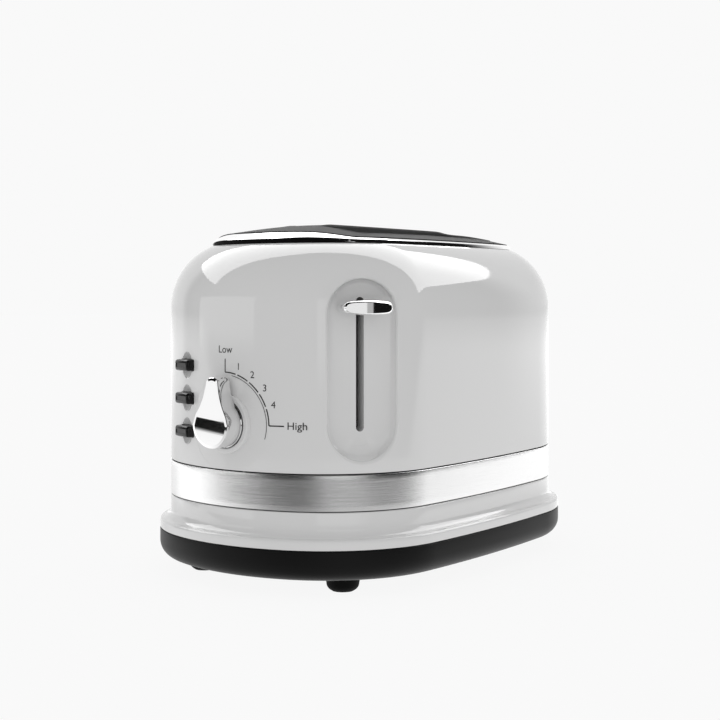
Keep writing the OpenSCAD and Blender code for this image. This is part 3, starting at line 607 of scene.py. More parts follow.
# the controls on the front end
dialSet = {
    "height": 0.0957,
    "dish": 0.028,
    "dishDepth": 0.00008,
    "dishRings": 16,
    "dishColumns": 128,
    "shaftHole": 0.0035,
}
buttonSet = {
    "angle": 18.6,
    "heights": {"top": 0.128, "middle": 0.1085, "lower": 0.089},
    "size": (0.0155, 0.0066),
    "stand": 0.0044,
    "deep": 0.008,
    "bevel": 0.0016,
    "faceRim": 0.0005,
    "faceSunk": 0.0003,
    "faceEdge": 0.0004,
    "dimple": (0.0056, 0.00735, 0.00948),
    "dimpleOut": 0.003,
    "gap": 0.0005,
    "pocketBend": 0.0012,
    "pocketTurns": 6,
    "pocketOut": 0.004,
}
buttonFrame = (
    Matrix.Translation((0, -plan["endCentre"], 0))
    @ Matrix.Rotation(radians(-90 - buttonSet["angle"]), 4, "Z"))


def dishCutter():
    reach = plan["endRadius"] - dialSet["dishDepth"]
    rings, columns = dialSet["dishRings"], dialSet["dishColumns"]

    def place(column, row):
        angle = 2 * pi * column / columns
        radius = dialSet["dish"] * min(1.0, row / rings)
        x, z = radius * sin(angle), dialSet["height"] + radius * cos(angle)
        y = -plan["endCentre"] - sqrt(reach * reach - x * x)
        if row > rings:
            y = frontY - overrun
        return Vector((x, y, z))

    return placedGrid("dishCutter", columns, rings + 1, place, caps=True)


def dimpleCutter(height):
    clearSelect()
    bpy.ops.mesh.primitive_uv_sphere_add(segments=64, ring_count=32, radius=1)
    tool = bpy.context.object
    out = plan["endRadius"] + buttonSet["dimpleOut"]
    spot = Matrix.Translation((out, 0, height)) @ Matrix.Diagonal((*buttonSet["dimple"], 1))
    tool.data.transform(buttonFrame @ spot)
    return tool


# pockets behind the openings; their closed ends are found by depth and by how far aside they lie
pocketSet = {
    "slot": 0.013,
    "slotAside": 0.003,
    "slotOut": 0.002,
    "button": 0.012,
    "buttonAside": 0.008,
    "bore": 0.010,
    "boreAside": 0.007,
    "boreOut": 0.005,
    "glandBore": 0.0061,
    "capLevel": 0.9999,
    "capCorners": 100,
}
leverBack, buttonBack = leverFrame.inverted(), buttonFrame.inverted()


def slotPocket():
    rays = pillRays(
        recessSet["slotWidth"], recessSet["slotLow"], recessSet["slotHigh"],
        *recessSet["slotSteps"])
    ends = recessSet["floor"] - pocketSet["slot"], recessSet["floor"] + pocketSet["slotOut"]
    return prism("slotPocket", leverFrame, [ray[:2] for ray in rays], ends)


def buttonPocket(height):
    wide, high = ((size + buttonSet["gap"]) / 2 for size in buttonSet["size"])
    spots = roundedRays(wide, high, buttonSet["pocketBend"], buttonSet["pocketTurns"])
    ends = plan["endRadius"] - pocketSet["button"], plan["endRadius"] + buttonSet["pocketOut"]
    return prism("buttonPocket", buttonFrame, [(y, height + z) for y, z in spots], ends)


def borePocket(radius, height, skin, inward):
    first, last = skin + inward * pocketSet["bore"], skin - inward * pocketSet["boreOut"]
    profile = [(0, first), (radius, first), (radius, last), (0, last)]
    return turned("borePocket", profile, height)


def pocketEnd(face):
    # a pocket's closed end, or a cap over the top or the bottom of the shell
    middle = face.calc_center_median()
    if abs(face.normal.z) > pocketSet["capLevel"] and len(face.verts) > pocketSet["capCorners"]:
        return True
    inLever, inButton = leverBack @ middle, buttonBack @ middle
    ends = [
        (inLever.x - recessSet["floor"], inLever.y, "slot"),
        (inButton.x - plan["endRadius"], inButton.y, "button"),
        (abs(middle.y) - backY, middle.x, "bore"),
    ]
    return any(
        abs(depth + pocketSet[kind]) < nearly and abs(aside) < pocketSet[kind + "Aside"]
        for depth, aside, kind in ends)


outerShell = rolled("outerShell", shellProfile(), caps=True)
carve(outerShell, recessCutter())
carve(outerShell, dishCutter())
for buttonHeight in buttonSet["heights"].values():
    carve(outerShell, dimpleCutter(buttonHeight))
    carve(outerShell, buttonPocket(buttonHeight))
carve(outerShell, slotPocket())
carve(outerShell, borePocket(dialSet["shaftHole"], dialSet["height"], frontY, 1))
carve(outerShell, borePocket(pocketSet["glandBore"], glandZ, backY, -1))
startEdit(outerShell, "FACE")
openEnds = pickFaces(outerShell, pocketEnd)
bpy.ops.mesh.delete(type="FACE")
endEdit()
print("openings in the shell:", openEnds)
addModifier(
    outerShell, "SOLIDIFY", thickness=shellSet["wall"], offset=-1, use_even_offset=False)
dress(outerShell, "housing", "white_shell", "outer_shell", sharp=10)


# trim band, with its edges just broken
bandSet = {"wall": 0.0022, "edge": 0.0004, "rows": 6}


def bandProfile():
    edge, wall, count = bandSet["edge"], bandSet["wall"], bandSet["rows"]
    low, high = bandLow.z, bandHigh.z
    rows = arc((edge, low + edge), edge, 270, 180, steps=4)
    rows += [(0.0, low + (high - low) * step / count) for step in range(1, count)]
    rows += arc((edge, high - edge), edge, 180, 90, steps=4)
    return rows + [(wall, high), (wall, low)]


trimBand = rolled("trimBand", bandProfile(), closed=True)
dress(trimBand, "housing", "brushed_band", "trim_band")


# lower skirt: a wall, a cove and a rounded lip
skirtSet = {
    "wall": 0.0022,
    "out": 0.0066,
    "lip": 0.006,
    "lipRound": 0.0016,
    "cove": 0.005,
    "edge": 0.0006,
}


def skirtProfile():
    low, high, wall = skirtLow.z, skirtHigh.z, skirtSet["wall"]
    out, cove, edge, bend = (skirtSet[k] for k in ("out", "cove", "edge", "lipRound"))
    lipHigh = low + skirtSet["lip"]
    rows = arc((edge - out, low + edge), edge, 270, 180, steps=3)
    rows += arc((bend - out, lipHigh - bend), bend, 180, 90, steps=8)
    rows += arc((-cove, lipHigh + cove), cove, 270, 360, steps=14)
    rows += arc((edge, high - edge), edge, 180, 90, steps=3)
    return rows + [(wall, high), (wall, low)]


lowerSkirt = rolled("lowerSkirt", skirtProfile(), closed=True)
dress(lowerSkirt, "housing", "white_shell", "lower_skirt")


# black base with its rounded foot and the opening for the crumb tray
baseSet = {"out": 0.0066, "round": 0.010, "wall": 0.0022, "top": 0.0271, "edge": 0.0006}
doorSet = {
    "low": 0.0117,
    "high": 0.0222,
    "half": 0.0615,
    "gap": 0.0005,
    "topGap": 0.0009,
    "deep": 0.008,
    "cutDeep": 0.025,
    "cutOut": 0.02,
    "tabHalf": 0.018,
    "tabStart": 0.0048,
    "tabBevel": 0.0012,
    "gripLow": 0.002,  # the tab and the ribs, from the door's lower edge
    "gripHigh": 0.006,
    "ribX": 0.020,
    "ribHalf": 0.0015,
    "ribGap": 0.0001,
    "ribEnd": 0.1427,
    "ribBevel": 0.0003,
}


def baseProfile():
    low, top, edge = baseLow.z, baseSet["top"], baseSet["edge"]
    out, bend, wall = baseSet["out"], baseSet["round"], baseSet["wall"]
    middle = (bend - out, low + bend)
    rows = [(plan["cornerRadius"], low)]
    rows += arc(middle, bend, 270, 180, steps=14)
    rows += arc((edge - out, top - edge), edge, 180, 90, steps=3)
    rows.append((wall - out, top))
    rows += arc(middle, bend - wall, 180, 270, steps=10)
    return rows + [(plan["cornerRadius"], low + wall)]


baseTray = rolled("baseTray", baseProfile(), caps=True)
carve(baseTray, softBox(
    "doorCutter", (-doorSet["half"], backY - doorSet["cutDeep"], doorSet["low"]),
    (doorSet["half"], backY + doorSet["cutOut"], doorSet["high"])))
dress(baseTray, "housing", "black_base", "base_tray", sharp=30)


# feet: one modelled, three copied
footSet = {
    "radius": 0.0105,
    "draft": 0.001,
    "bevel": 0.0045,
    "hollow": 0.0006,
    "hollowShares": (0.55, 0.6),
    "spanX": 0.106,
    "spanY": 0.199,
    "steps": 48,
}


def footProfile():
    radius, bevel, hollow = footSet["radius"], footSet["bevel"], footSet["hollow"]
    inner, outer = (radius * share for share in footSet["hollowShares"])
    rows = [(0.0, hollow), (inner, hollow), (outer, 0.0)]
    rows += arc((radius - footSet["draft"] - bevel, bevel), bevel, 270, 360, steps=8)
    return rows + [(radius, footHigh.z), (0.0, footHigh.z)]


feet = [turned("frontLeftFoot", footProfile(), steps=footSet["steps"])]
for footName in ("frontRightFoot", "rearLeftFoot", "rearRightFoot"):
    feet.append(copyOf(feet[0], footName))
for foot, (signX, signY) in zip(feet, ((-1, -1), (1, -1), (-1, 1), (1, 1))):
    footX, footY = signX * footSet["spanX"] / 2, signY * footSet["spanY"] / 2
    foot.data.transform(Matrix.Translation((footX, footY, 0)))
    dress(foot, "housing", "rubber_foot", "feet")


# chrome rim: low along the sides and the rear, and lifted over a small wall at the front end
rimSet = {
    "outer": 0.0255,
    "wall": 0.0268,
    "sunk": 0.0006,
    "liftStart": 0.086,
    "liftEnd": 0.112,
    "lift": (0.0, 0.0026),  # this and the next four: along the sides, at the front
    "face": (0.0023, 0.0010),
    "lean": (0.0001, 0.0006),
    "run": (0.0020, 0.0048),
    "rise": (0.0010, 0.0030),
    "faceEnd": 0.85,
    "brow": 0.3,
    "fine": 0.0001,  # the step that its small edges are built from
    "shadeStrip": 0.0006,
    "shadeStripDeep": 0.002,
}
fine = rimSet["fine"]


def rimSizes(ray):
    reach = -onPlan(ray, rimSet["outer"], 0).y
    share = (reach - rimSet["liftStart"]) / (rimSet["liftEnd"] - rimSet["liftStart"])
    share = min(1.0, max(0.0, share))
    share = share * share * (3 - 2 * share)
    pairs = (rimSet[key] for key in ("lift", "face", "lean", "run", "rise"))
    return [sides + (front - sides) * share for sides, front in pairs]


def rimTop(ray):
    # inset and height of the rim's upper edge
    lift, face, lean, run, rise = rimSizes(ray)
    return rimSet["outer"] + lean + run, shellHigh.z + lift + face + rise


def rimProfile(ray):
    lift, face, lean, run, rise = rimSizes(ray)
    low, deep = shellHigh.z + lift, shellHigh.z - rimSet["sunk"]
    outer, wall = rimSet["outer"], rimSet["wall"] + 5 * fine
    edge, faceTop = outer + lean, low + face
    inner, high = rimTop(ray)
    return [
        (wall, deep), (wall, low + 2 * fine), (outer + 3 * fine, low + 2 * fine),
        (outer, low + 3 * fine),
        (outer + rimSet["faceEnd"] * lean, low + rimSet["faceEnd"] * face),
        (edge + fine, faceTop),
        (edge + 3 * fine, faceTop + rimSet["brow"] * rise * 3 * fine / run),
        (edge + run / 2, faceTop + (rise + fine) / 2),
        (inner - 3 * fine, high - fine), (inner, high), (inner + 3 * fine, high - fine),
        (inner + 4 * fine, high - 4 * fine), (inner + 4 * fine, deep),
    ]


def shadeStripProfile(ray):
    # a thin dark strip between the rim and the plate: painted shade for the shadow gap there
    inner, high = rimTop(ray)
    first, last = inner + 3 * fine, inner + 10 * fine
    low, top = high - rimSet["shadeStripDeep"], high + rimSet["shadeStrip"]
    return [(first, low), (first, top - fine), (first + fine, top), (last, top), (last, low)]


def underShadeProfile(ray):
    # the dark wall under the lifted part of the rim: painted shade for the shadow beneath it
    first, last = rimSet["wall"], rimSet["wall"] + 10 * fine
    low, high = shellHigh.z - rimSet["sunk"], shellHigh.z + rimSizes(ray)[0] + 5 * fine
    return [(first, low), (first, high), (last, high), (last, low)]


topRim = rolled("topRim", rimProfile, closed=True)
dress(topRim, "housing", "bright_chrome", "top_rim", sharp=16)
# the dark strip and the dark wall under the rim are painted shade, given the dark rubber finish
rimShadeStrip = rolled("rimShadeStrip", shadeStripProfile, closed=True)
joinTo(rimShadeStrip, [rolled("rimUnderShade", underShadeProfile, closed=True)])
dress(rimShadeStrip, "housing", "rubber_foot")


# top plate: a crowned sheet with two rolled-edge slots, and dark collars that line them as painted
# shade for the slots' unlit insides
topSet = {
    "wall": 0.0012,
    "edge": 0.0006,
    "edgeTurn": (0.2, 0.3),
    "skirt": 0.004,
    "rows": 24,
    "crownPower": 1.3,
    "slot": (0.034, 0.150),
    "slotX": 0.032,
    "slotRound": 0.006,
    "slotSteps": (10, 8, 30),  # round a corner, across and along
    "cutShare": 0.6,
    "cutSpan": (0.19, 0.23),
    "shadeCollarLow": 0.1935,
    "lip": 0.0017,
    "lipStand": 0.0004,
    "lipDeep": 0.0007,
    "lipShape": [  # share of the lip's width, height above the crown
        (1, -0.0006), (0.8, 0.00016), (0.5, 0.0004), (0.2, 0.00028), (0, -0.0004),
        (0, -0.0007), (0.7, -0.0007), (1, -0.0006)],
}
crownTop = plateHigh.z - topSet["lipStand"]


def plateEdge(ray):
    inner, high = rimTop(ray)
    return inner + 8 * fine, high + rimSet["shadeStrip"]


def crownHeight(ray, inset):
    first, low = plateEdge(ray)
    share = (plan["cornerRadius"] - inset) / (plan["cornerRadius"] - first)
    return low + (crownTop - low) * (1 - min(1.0, max(0.0, share)) ** topSet["crownPower"])


def onCrown(x, y, above=0.0):
    return Vector((x, y, crownHeight(*planSpot(x, y)) + above))


def plateProfile(ray):
    edge, count, (turnIn, turnDown) = topSet["edge"], topSet["rows"], topSet["edgeTurn"]
    first, low = plateEdge(ray)
    rows = [
        (first, low - topSet["skirt"]), (first, low - edge),
        (first + turnIn * edge, low - turnDown * edge)]
    run = plan["cornerRadius"] - first - edge
    insets = [first + edge + run * step / count for step in range(count + 1)]
    return rows + [(inset, crownHeight(ray, inset)) for inset in insets]


def slotTube(name, centreX, rows):
    # rows of (how far out from the slot, height, True if that is above the crown)
    wide, long = (size / 2 for size in topSet["slot"])
    bend, steps = topSet["slotRound"], topSet["slotSteps"]
    rings = [roundedRays(wide + out, long + out, bend + out, *steps) for out, _, _ in rows]
    count = len(rings[0])

    def place(column, row):
        x, y = rings[row][column % count]
        _, height, aboveCrown = rows[row]
        return onCrown(centreX + x, y, height) if aboveCrown else Vector((centreX + x, y, height))

    return placedGrid(name, count, len(rows) - 1, place)


def slotLip(centreX):
    rows = [(topSet["lip"] * out, height, True) for out, height in topSet["lipShape"]]
    return slotTube("slotLip", centreX, rows)


def slotShadeCollar(centreX):
    low, wall, deep = topSet["shadeCollarLow"], topSet["wall"], topSet["lipDeep"]
    return slotTube("slotShadeCollars", centreX, [
        (0.0, -deep, True), (0.0, low, False), (wall, low, False), (wall, -wall, True),
        (0.0, -deep, True)])


def slotCutter(centreX):
    out = topSet["lip"] * topSet["cutShare"]
    rows = [(out, height, False) for height in topSet["cutSpan"]]
    cutter = slotTube("slotCutter", centreX, rows)
    closeUp(cutter, caps=True)
    return cutter


slotPlaces = [side * topSet["slotX"] for side in (-1, 1)]
topPlate = rolled("topPlate", plateProfile, middle=True)
addModifier(
    topPlate, "SOLIDIFY", thickness=topSet["wall"], offset=-1, use_even_offset=False)
for slotPlace in slotPlaces:
    carve(topPlate, slotCutter(slotPlace))
joinTo(topPlate, [slotLip(slotPlace) for slotPlace in slotPlaces])
dress(topPlate, "housing", "satin_top", "top_plate")
# the dark collars are painted shade for the unlit insides of the slots
slotShadeCollars = slotShadeCollar(slotPlaces[0])
joinTo(slotShadeCollars, [slotShadeCollar(slotPlaces[1])])
dress(slotShadeCollars, "housing", "dark_plastic", "top_plate")


# low white collar behind the knob
collarSet = {"inner": 0.0141, "outer": 0.017, "stand": 0.0022, "sunk": 0.0024, "edge": 0.0008}


def collarProfile():
    inner, outer, edge = collarSet["inner"], collarSet["outer"], collarSet["edge"]
    front, back = frontY - collarSet["stand"], frontY + collarSet["sunk"]
    rows = [(inner, back), (inner, front + edge / 2), (inner + edge / 2, front)]
    rows += arc((outer - edge, front + edge), edge, 270, 360, steps=6)
    return rows + [(outer, back), (inner, back)]


dialCollar = turned("dialCollar", collarProfile(), dialSet["height"], steps=96)
dress(dialCollar, "housing", "white_shell", "dial_collar", sharp=35)


# browning knob: a bell outline, pulled out, stepped in to a chamfer and ridged across its face
knobSet = {
    "radius": 0.0136,
    "face": 0.0132,
    "faceStep": 3,
    "flank": [(0.0, 0.0132), (0.0046, 0.0117), (0.0074, 0.0102), (0.011, 0.0083),
              (0.016, 0.0063), (0.0206, 0.0051), (0.0244, 0.0044)],
    "flankSteps": 6,
    "tip": (0.0026, 0.0044),
    "tipStep": 15,
    "disc": 0.0028,
    "discBack": 0.0005,
    "discEdge": 0.0004,
    "stand": 0.0144,
    "back": 0.0026,
    "crest": 0.0034,
    "gable": 0.075,
    "tilt": 0.014,
    "lean": 0.11,
    "flatEnd": -0.0012,
    "belly": 0.084,
    "bellyStep": 0.001,
    "bellyCuts": 12,
    "chamfer": [(0.0003, 0.0003), (0.0014, 0.00024)],  # in and out, from the edge
}


def between(spots, index, share):
    # a smooth curve through a list of pairs
    first, last = spots[max(0, index - 1)], spots[min(len(spots) - 1, index + 2)]
    made = []
    for a, b, c, d in zip(first, spots[index], spots[index + 1], last):
        bend = 2 * a - 5 * b + 4 * c - d + share * (3 * (b - c) + d - a)
        made.append(b + share / 2 * (c - a + share * bend))
    return made


def knobOutline():
    face, flank, (tipHigh, tipWide) = knobSet["face"], knobSet["flank"], knobSet["tip"]
    steps, faceStep, tipStep = knobSet["flankSteps"], knobSet["faceStep"], knobSet["tipStep"]
    side = [between(flank, i, j / steps) for i in range(len(flank) - 1) for j in range(steps)]
    side.append(flank[-1])
    above = [radians(angle) for angle in range(tipStep, 180, tipStep)]
    spots = arc((0, 0), face, 180 + faceStep, 360 - faceStep, steps=180 // faceStep - 2)
    spots += [(half, z) for z, half in side]
    spots += [(tipWide * cos(a), flank[-1][0] + tipHigh * sin(a)) for a in above]
    return spots + [(-half, z) for z, half in reversed(side)]


def knobFall(x, z):
    # how far the face falls back, for a place on it measured from the knob's middle
    away = z + knobSet["lean"] * x
    flat = away - knobSet["flatEnd"]
    if away > knobSet["crest"]:
        ridge = knobSet["crest"] - knobSet["flatEnd"]
        return knobSet["tilt"] * ridge + knobSet["gable"] * (away - knobSet["crest"])
    return knobSet["tilt"] * flat + min(0.0, flat) ** 2 / (2 * knobSet["belly"])


def knobBlock():
    spots = knobOutline()
    clearSelect()
    bpy.ops.mesh.primitive_circle_add(
        vertices=len(spots), radius=knobSet["face"], fill_type="NGON")
    piece = bpy.context.object
    piece.name = "browningKnob"
    middle = dialSet["height"]
    back, front = frontY - knobSet["back"], frontY - knobSet["stand"]
    edge = front + sum(out for _, out in knobSet["chamfer"])
    for vertex, (x, z) in zip(piece.data.vertices, spots):
        vertex.co = (x, back, middle + z)
    startEdit(piece, "FACE")
    selectMesh()
    bpy.ops.mesh.extrude_region_move(TRANSFORM_OT_translate={"value": (0, edge - back, 0)})
    for wide, out in knobSet["chamfer"]:
        bpy.ops.mesh.inset(thickness=wide)
        bpy.ops.transform.translate(value=(0, -out, 0))
    selectMesh()
    bpy.ops.mesh.normals_make_consistent(inside=False)
    levels = [knobSet["crest"]]
    for step in range(knobSet["bellyCuts"]):
        levels.append(knobSet["flatEnd"] - knobSet["bellyStep"] * step)
    for level in levels:
        selectMesh()
        bpy.ops.mesh.bisect(plane_co=(0, 0, middle + level), plane_no=(knobSet["lean"], 0, 1))
    mesh = bmesh.from_edit_mesh(piece.data)
    for vertex in mesh.verts:
        z = vertex.co.z - middle
        if vertex.co.y < edge + nearly:
            vertex.co.y += knobFall(vertex.co.x, z)
        elif 0 < z < knobSet["face"]:
            # the flanks spread to the disc at the back
            half = sqrt(knobSet["face"] ** 2 - z * z)
            vertex.co.x = max(half, abs(vertex.co.x)) * (1 if vertex.co.x > 0 else -1)
    bmesh.update_edit_mesh(piece.data)
    endEdit()
    return piece


def discProfile():
    radius, edge = knobSet["radius"], knobSet["discEdge"]
    back, front = frontY - knobSet["discBack"], frontY - knobSet["disc"]
    return [(0, back), (radius, back), (radius, front + edge), (radius - edge, front), (0, front)]


browningKnob = knobBlock()
joinTo(browningKnob, [turned("knobDisc", discProfile(), dialSet["height"], steps=96)])
dress(browningKnob, "knob", "bright_chrome", "browning_knob", sharp=5)


# push buttons: one modelled, two copied
def pushButton(name, height):
    back, front = plan["endRadius"] - buttonSet["deep"], plan["endRadius"] + buttonSet["stand"]
    halfWide, halfHigh = (size / 2 for size in buttonSet["size"])
    piece = softBox(
        name, (back, -halfWide, height - halfHigh), (front, halfWide, height + halfHigh),
        buttonSet["bevel"])
    startEdit(piece, "FACE")
    pickFaces(piece, lambda face: all(v.co.x > front - nearly for v in face.verts))
    bpy.ops.mesh.inset(thickness=buttonSet["faceRim"])
    sink = (-buttonSet["faceSunk"], 0, 0)
    bpy.ops.mesh.extrude_region_move(TRANSFORM_OT_translate={"value": sink})
    bpy.ops.mesh.inset(thickness=buttonSet["faceEdge"])
    endEdit()
    piece.data.transform(buttonFrame)
    return piece


buttonHeights = buttonSet["heights"]
buttons = {"top": pushButton("topButton", buttonHeights["top"])}
for which in ("middle", "lower"):
    buttons[which] = copyOf(buttons["top"], which + "Button")
    drop = buttonHeights[which] - buttonHeights["top"]
    buttons[which].data.transform(Matrix.Translation((0, 0, drop)))
for which, button in buttons.items():
    dress(button, which + "_key", "black_button", which + "_button", sharp=35)


# lever grip: a bowed chrome bar with a lens-shaped front, on the end of its arm
gripSet = {
    "back": 0.0010,
    "backRound": 0.0009,
    "length": 0.020,
    "width": 0.0285,
    "height": 0.008,
    "middle": 0.1623,
    "bow": 0.0022,
    "taper": 0.0009,
    "fullness": 10,
    "chamfer": (0.0010, 0.0009),
    "chamferEdge": 0.0001,
    "faceRows": 4,
    "steps": 40,
}


def gripRays():
    # round the lens once: along the top from right to left, and back along the bottom
    halfWide, halfHigh, steps = gripSet["width"] / 2, gripSet["height"] / 2, gripSet["steps"]
    spots = []
    for side in (1, -1):
        for step in range(steps):
            share = side * cos(pi * step / steps)
            full = sqrt(1 - share ** gripSet["fullness"])
            high = (halfHigh - gripSet["taper"] * share ** 2) * full
            spots.append((halfWide * share, side * high))
    return spots


def leverGripPiece():
    back = recessSet["floor"] + gripSet["back"]
    front = recessSet["floor"] + gripSet["length"]
    halfWide, halfHigh = gripSet["width"] / 2, gripSet["height"] / 2
    spots = gripRays()
    (narrow, deep), edge = gripSet["chamfer"], gripSet["chamferEdge"]
    bend, count = gripSet["backRound"], gripSet["faceRows"]
    rows = [("back", bend, 0.0), ("back", bend / 3, bend / 3), ("back", 0.0, bend)]
    rows += [("front", 0.0, deep + 2 * edge), ("front", edge, deep)]
    rows += [("front", narrow - edge, edge), ("front", narrow, 0.0)]
    rows += [("face", narrow, 1 - step / count) for step in range(1, count + 1)]

    def place(column, row):
        y, z = spots[column % len(spots)]
        kind, inset, value = rows[row]
        y *= 1 - inset / halfWide
        z *= 1 - inset / halfHigh
        x = back + value
        if kind != "back":
            x = front - gripSet["bow"] * (y / halfWide) ** 2
            x -= value if kind == "front" else 0.0
        if kind == "face":
            z *= value
        return leverFrame @ Vector((x, y, gripSet["middle"] + z))

    return placedGrid("leverGrip", len(spots), len(rows) - 1, place, caps=True)


leverGrip = leverGripPiece()
dress(leverGrip, "carriage", "bright_chrome", "lever_grip", sharp=25)


# printed dial: an arc with gaps, a thin arc of painted shade along the dish's edge, two ticks,
# figures and two plain words, laid on the bowed end
printSet = {
    "arc": (0.02915, 0.02985),
    "arcSteps": 12,
    "arcStep": 3,
    "gaps": (16.5, 34, 52, 70),
    "gapHalf": 1.3,
    "span": 90,
    "dishEdgeShade": (0.0279, 0.0282, 10, 106),
    "ticks": {0: (0.0296, 0.0372), 90: (0.0296, 0.0383)},
    "tickWidth": 0.0007,
    "tickSteps": 6,
    "figures": "1234",
    "figureAt": 0.0342,
    "figureSize": 0.0056,
    "words": {"Low": (0.0, 0.0424, "CENTER"), "High": (0.0398, 0.0, "LEFT")},
    "wordSize": 0.0060,
    "middle": -0.0010,
    "lift": 0.00004,
    "thick": 0.00008,
}


def onBow(x, z):
    reach = plan["endRadius"] + printSet["lift"]
    x += printSet["middle"]
    return Vector((x, -plan["endCentre"] - sqrt(reach * reach - x * x), dialSet["height"] + z))


def printedArc(inner, outer, first, last):
    steps = max(printSet["arcSteps"], int((last - first) / printSet["arcStep"]))

    def place(column, row):
        angle = radians(first + (last - first) * column / steps)
        radius = (inner, outer)[row]
        return onBow(radius * sin(angle), radius * cos(angle))

    return placedGrid("printedArc", steps, 1, place)


def printedTick(angle, first, last):
    half, steps = printSet["tickWidth"] / 2, printSet["tickSteps"]
    turn = radians(angle)

    def place(column, row):
        radius = first + (last - first) * column / steps
        across = (-half, half)[row]
        x = radius * sin(turn) + across * cos(turn)
        z = radius * cos(turn) - across * sin(turn)
        return onBow(x, z)

    return placedGrid("printedTick", steps, 1, place)


def printedText(words, x, z, size, side="CENTER"):
    clearSelect()
    bpy.ops.object.text_add()
    text = bpy.context.object
    text.data.body = words
    text.data.size = size
    text.data.align_x = side
    text.data.align_y = "CENTER"
    bpy.ops.object.convert(target="MESH")
    piece = bpy.context.object
    for vertex in piece.data.vertices:
        vertex.co = onBow(x + vertex.co.x, z + vertex.co.y)
    return piece


def dialPrint():
    stops, half = [0, *printSet["gaps"], printSet["span"]], printSet["gapHalf"]
    parts = []
    for index in range(len(stops) - 1):
        first = stops[index] + (half if index else 0)
        last = stops[index + 1] - (half if index < len(stops) - 2 else 0)
        parts.append(printedArc(*printSet["arc"], first, last))
    # a thin printed arc just inside the dish's edge: painted shade for the edge's dark line
    parts.append(printedArc(*printSet["dishEdgeShade"]))
    for angle, ends in printSet["ticks"].items():
        parts.append(printedTick(angle, *ends))
    for figure, angle in zip(printSet["figures"], printSet["gaps"]):
        turn, radius = radians(angle), printSet["figureAt"]
        parts.append(printedText(
            figure, radius * sin(turn), radius * cos(turn), printSet["figureSize"]))
    for word, (x, z, side) in printSet["words"].items():
        parts.append(printedText(word, x, z, printSet["wordSize"], side))
    joinTo(parts[0], parts[1:])
    parts[0].name = "dialPrint"
    addModifier(parts[0], "SOLIDIFY", thickness=printSet["thick"], offset=0)
    return parts[0]


dialMarks = dialPrint()
dress(dialMarks, "housing", "black_button", sharp=0, finish=dialInk)


# cord gland on the back
glandSet = {"bore": 0.0035, "body": 0.0059, "flange": 0.008, "edge": 0.001, "sunk": 0.0006}


def glandProfile():
    bore, body, flange, edge = (glandSet[k] for k in ("bore", "body", "flange", "edge"))
    low, tip, seat = glandLow.y, glandHigh.y, backY - glandSet["sunk"]
    rows = [(bore, low), (bore, tip - edge / 2), (bore + edge / 2, tip)]
    rows += arc((flange - edge, tip - edge), edge, 90, 0, steps=6)
    return rows + [(flange, seat), (body, seat), (body, low), (bore, low)]


cordGland = turned("cordGland", glandProfile(), glandZ)
dress(cordGland, "housing", "dark_plastic", "cord_gland", sharp=35)


# door of the crumb tray, cut from the base's rounded wall, with ribs to the tray and a tab to pull
trayDoorLow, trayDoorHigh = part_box("tray_door")
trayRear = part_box("crumb_tray")[1].y


def doorPiece():
    piece = rolled("trayDoor", baseProfile(), caps=True)
    low, high = trayDoorLow.z, doorSet["high"] - doorSet["topGap"]
    half = doorSet["half"] - doorSet["gap"]
    keeper = softBox(
        "doorKeeper", (-half, backY - doorSet["deep"], low),
        (half, backY + doorSet["cutOut"], high))
    carve(piece, keeper, "INTERSECT")
    gripLow, gripHigh = low + doorSet["gripLow"], low + doorSet["gripHigh"]

    tab, rib = doorSet["tabHalf"], doorSet["ribHalf"]
    parts = [softBox(
        "doorTab", (-tab, backY + doorSet["tabStart"], gripLow),
        (tab, trayDoorHigh.y, gripHigh), doorSet["tabBevel"])]
    for x in (-doorSet["ribX"], doorSet["ribX"]):
        parts.append(softBox(
            "doorRib", (x - rib, trayRear + doorSet["ribGap"], gripLow),
            (x + rib, doorSet["ribEnd"], gripHigh), doorSet["ribBevel"], segments=2))
    joinTo(piece, parts)
    return piece


trayDoor = doorPiece()
dress(trayDoor, "tray", "black_base", "tray_door", sharp=30)


# lift spring: a wire wound round the guide rod; the real spring shortens as the carriage goes
# down, this one is built at one length
springLow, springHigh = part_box("lift_spring")
springSet = {"wire": 0.0006, "turns": 12, "stepsPerTurn": 24, "sides": 8, "keep": 0.389}
springSteps = springSet["turns"] * springSet["stepsPerTurn"]


def springPlace(column, row):
    wire = springSet["wire"]
    middle = (springLow + springHigh) / 2
    coil = (springHigh.x - springLow.x) / 2 - wire
    turn = 2 * pi * column / springSet["stepsPerTurn"]
    around = 2 * pi * row / springSet["sides"]
    low, high = springLow.z + wire, springHigh.z - wire
    rise = low + (high - low) * column / springSteps + wire * sin(around)
    out = coil + wire * cos(around)
    return Vector((middle.x + out * cos(turn), middle.y + out * sin(turn), rise))


liftSpring = placedGrid("liftSpring", springSteps, springSet["sides"], springPlace, caps=True)
dress(liftSpring, "housing", "bare_steel", "lift_spring", sharp=60)
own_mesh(liftSpring)


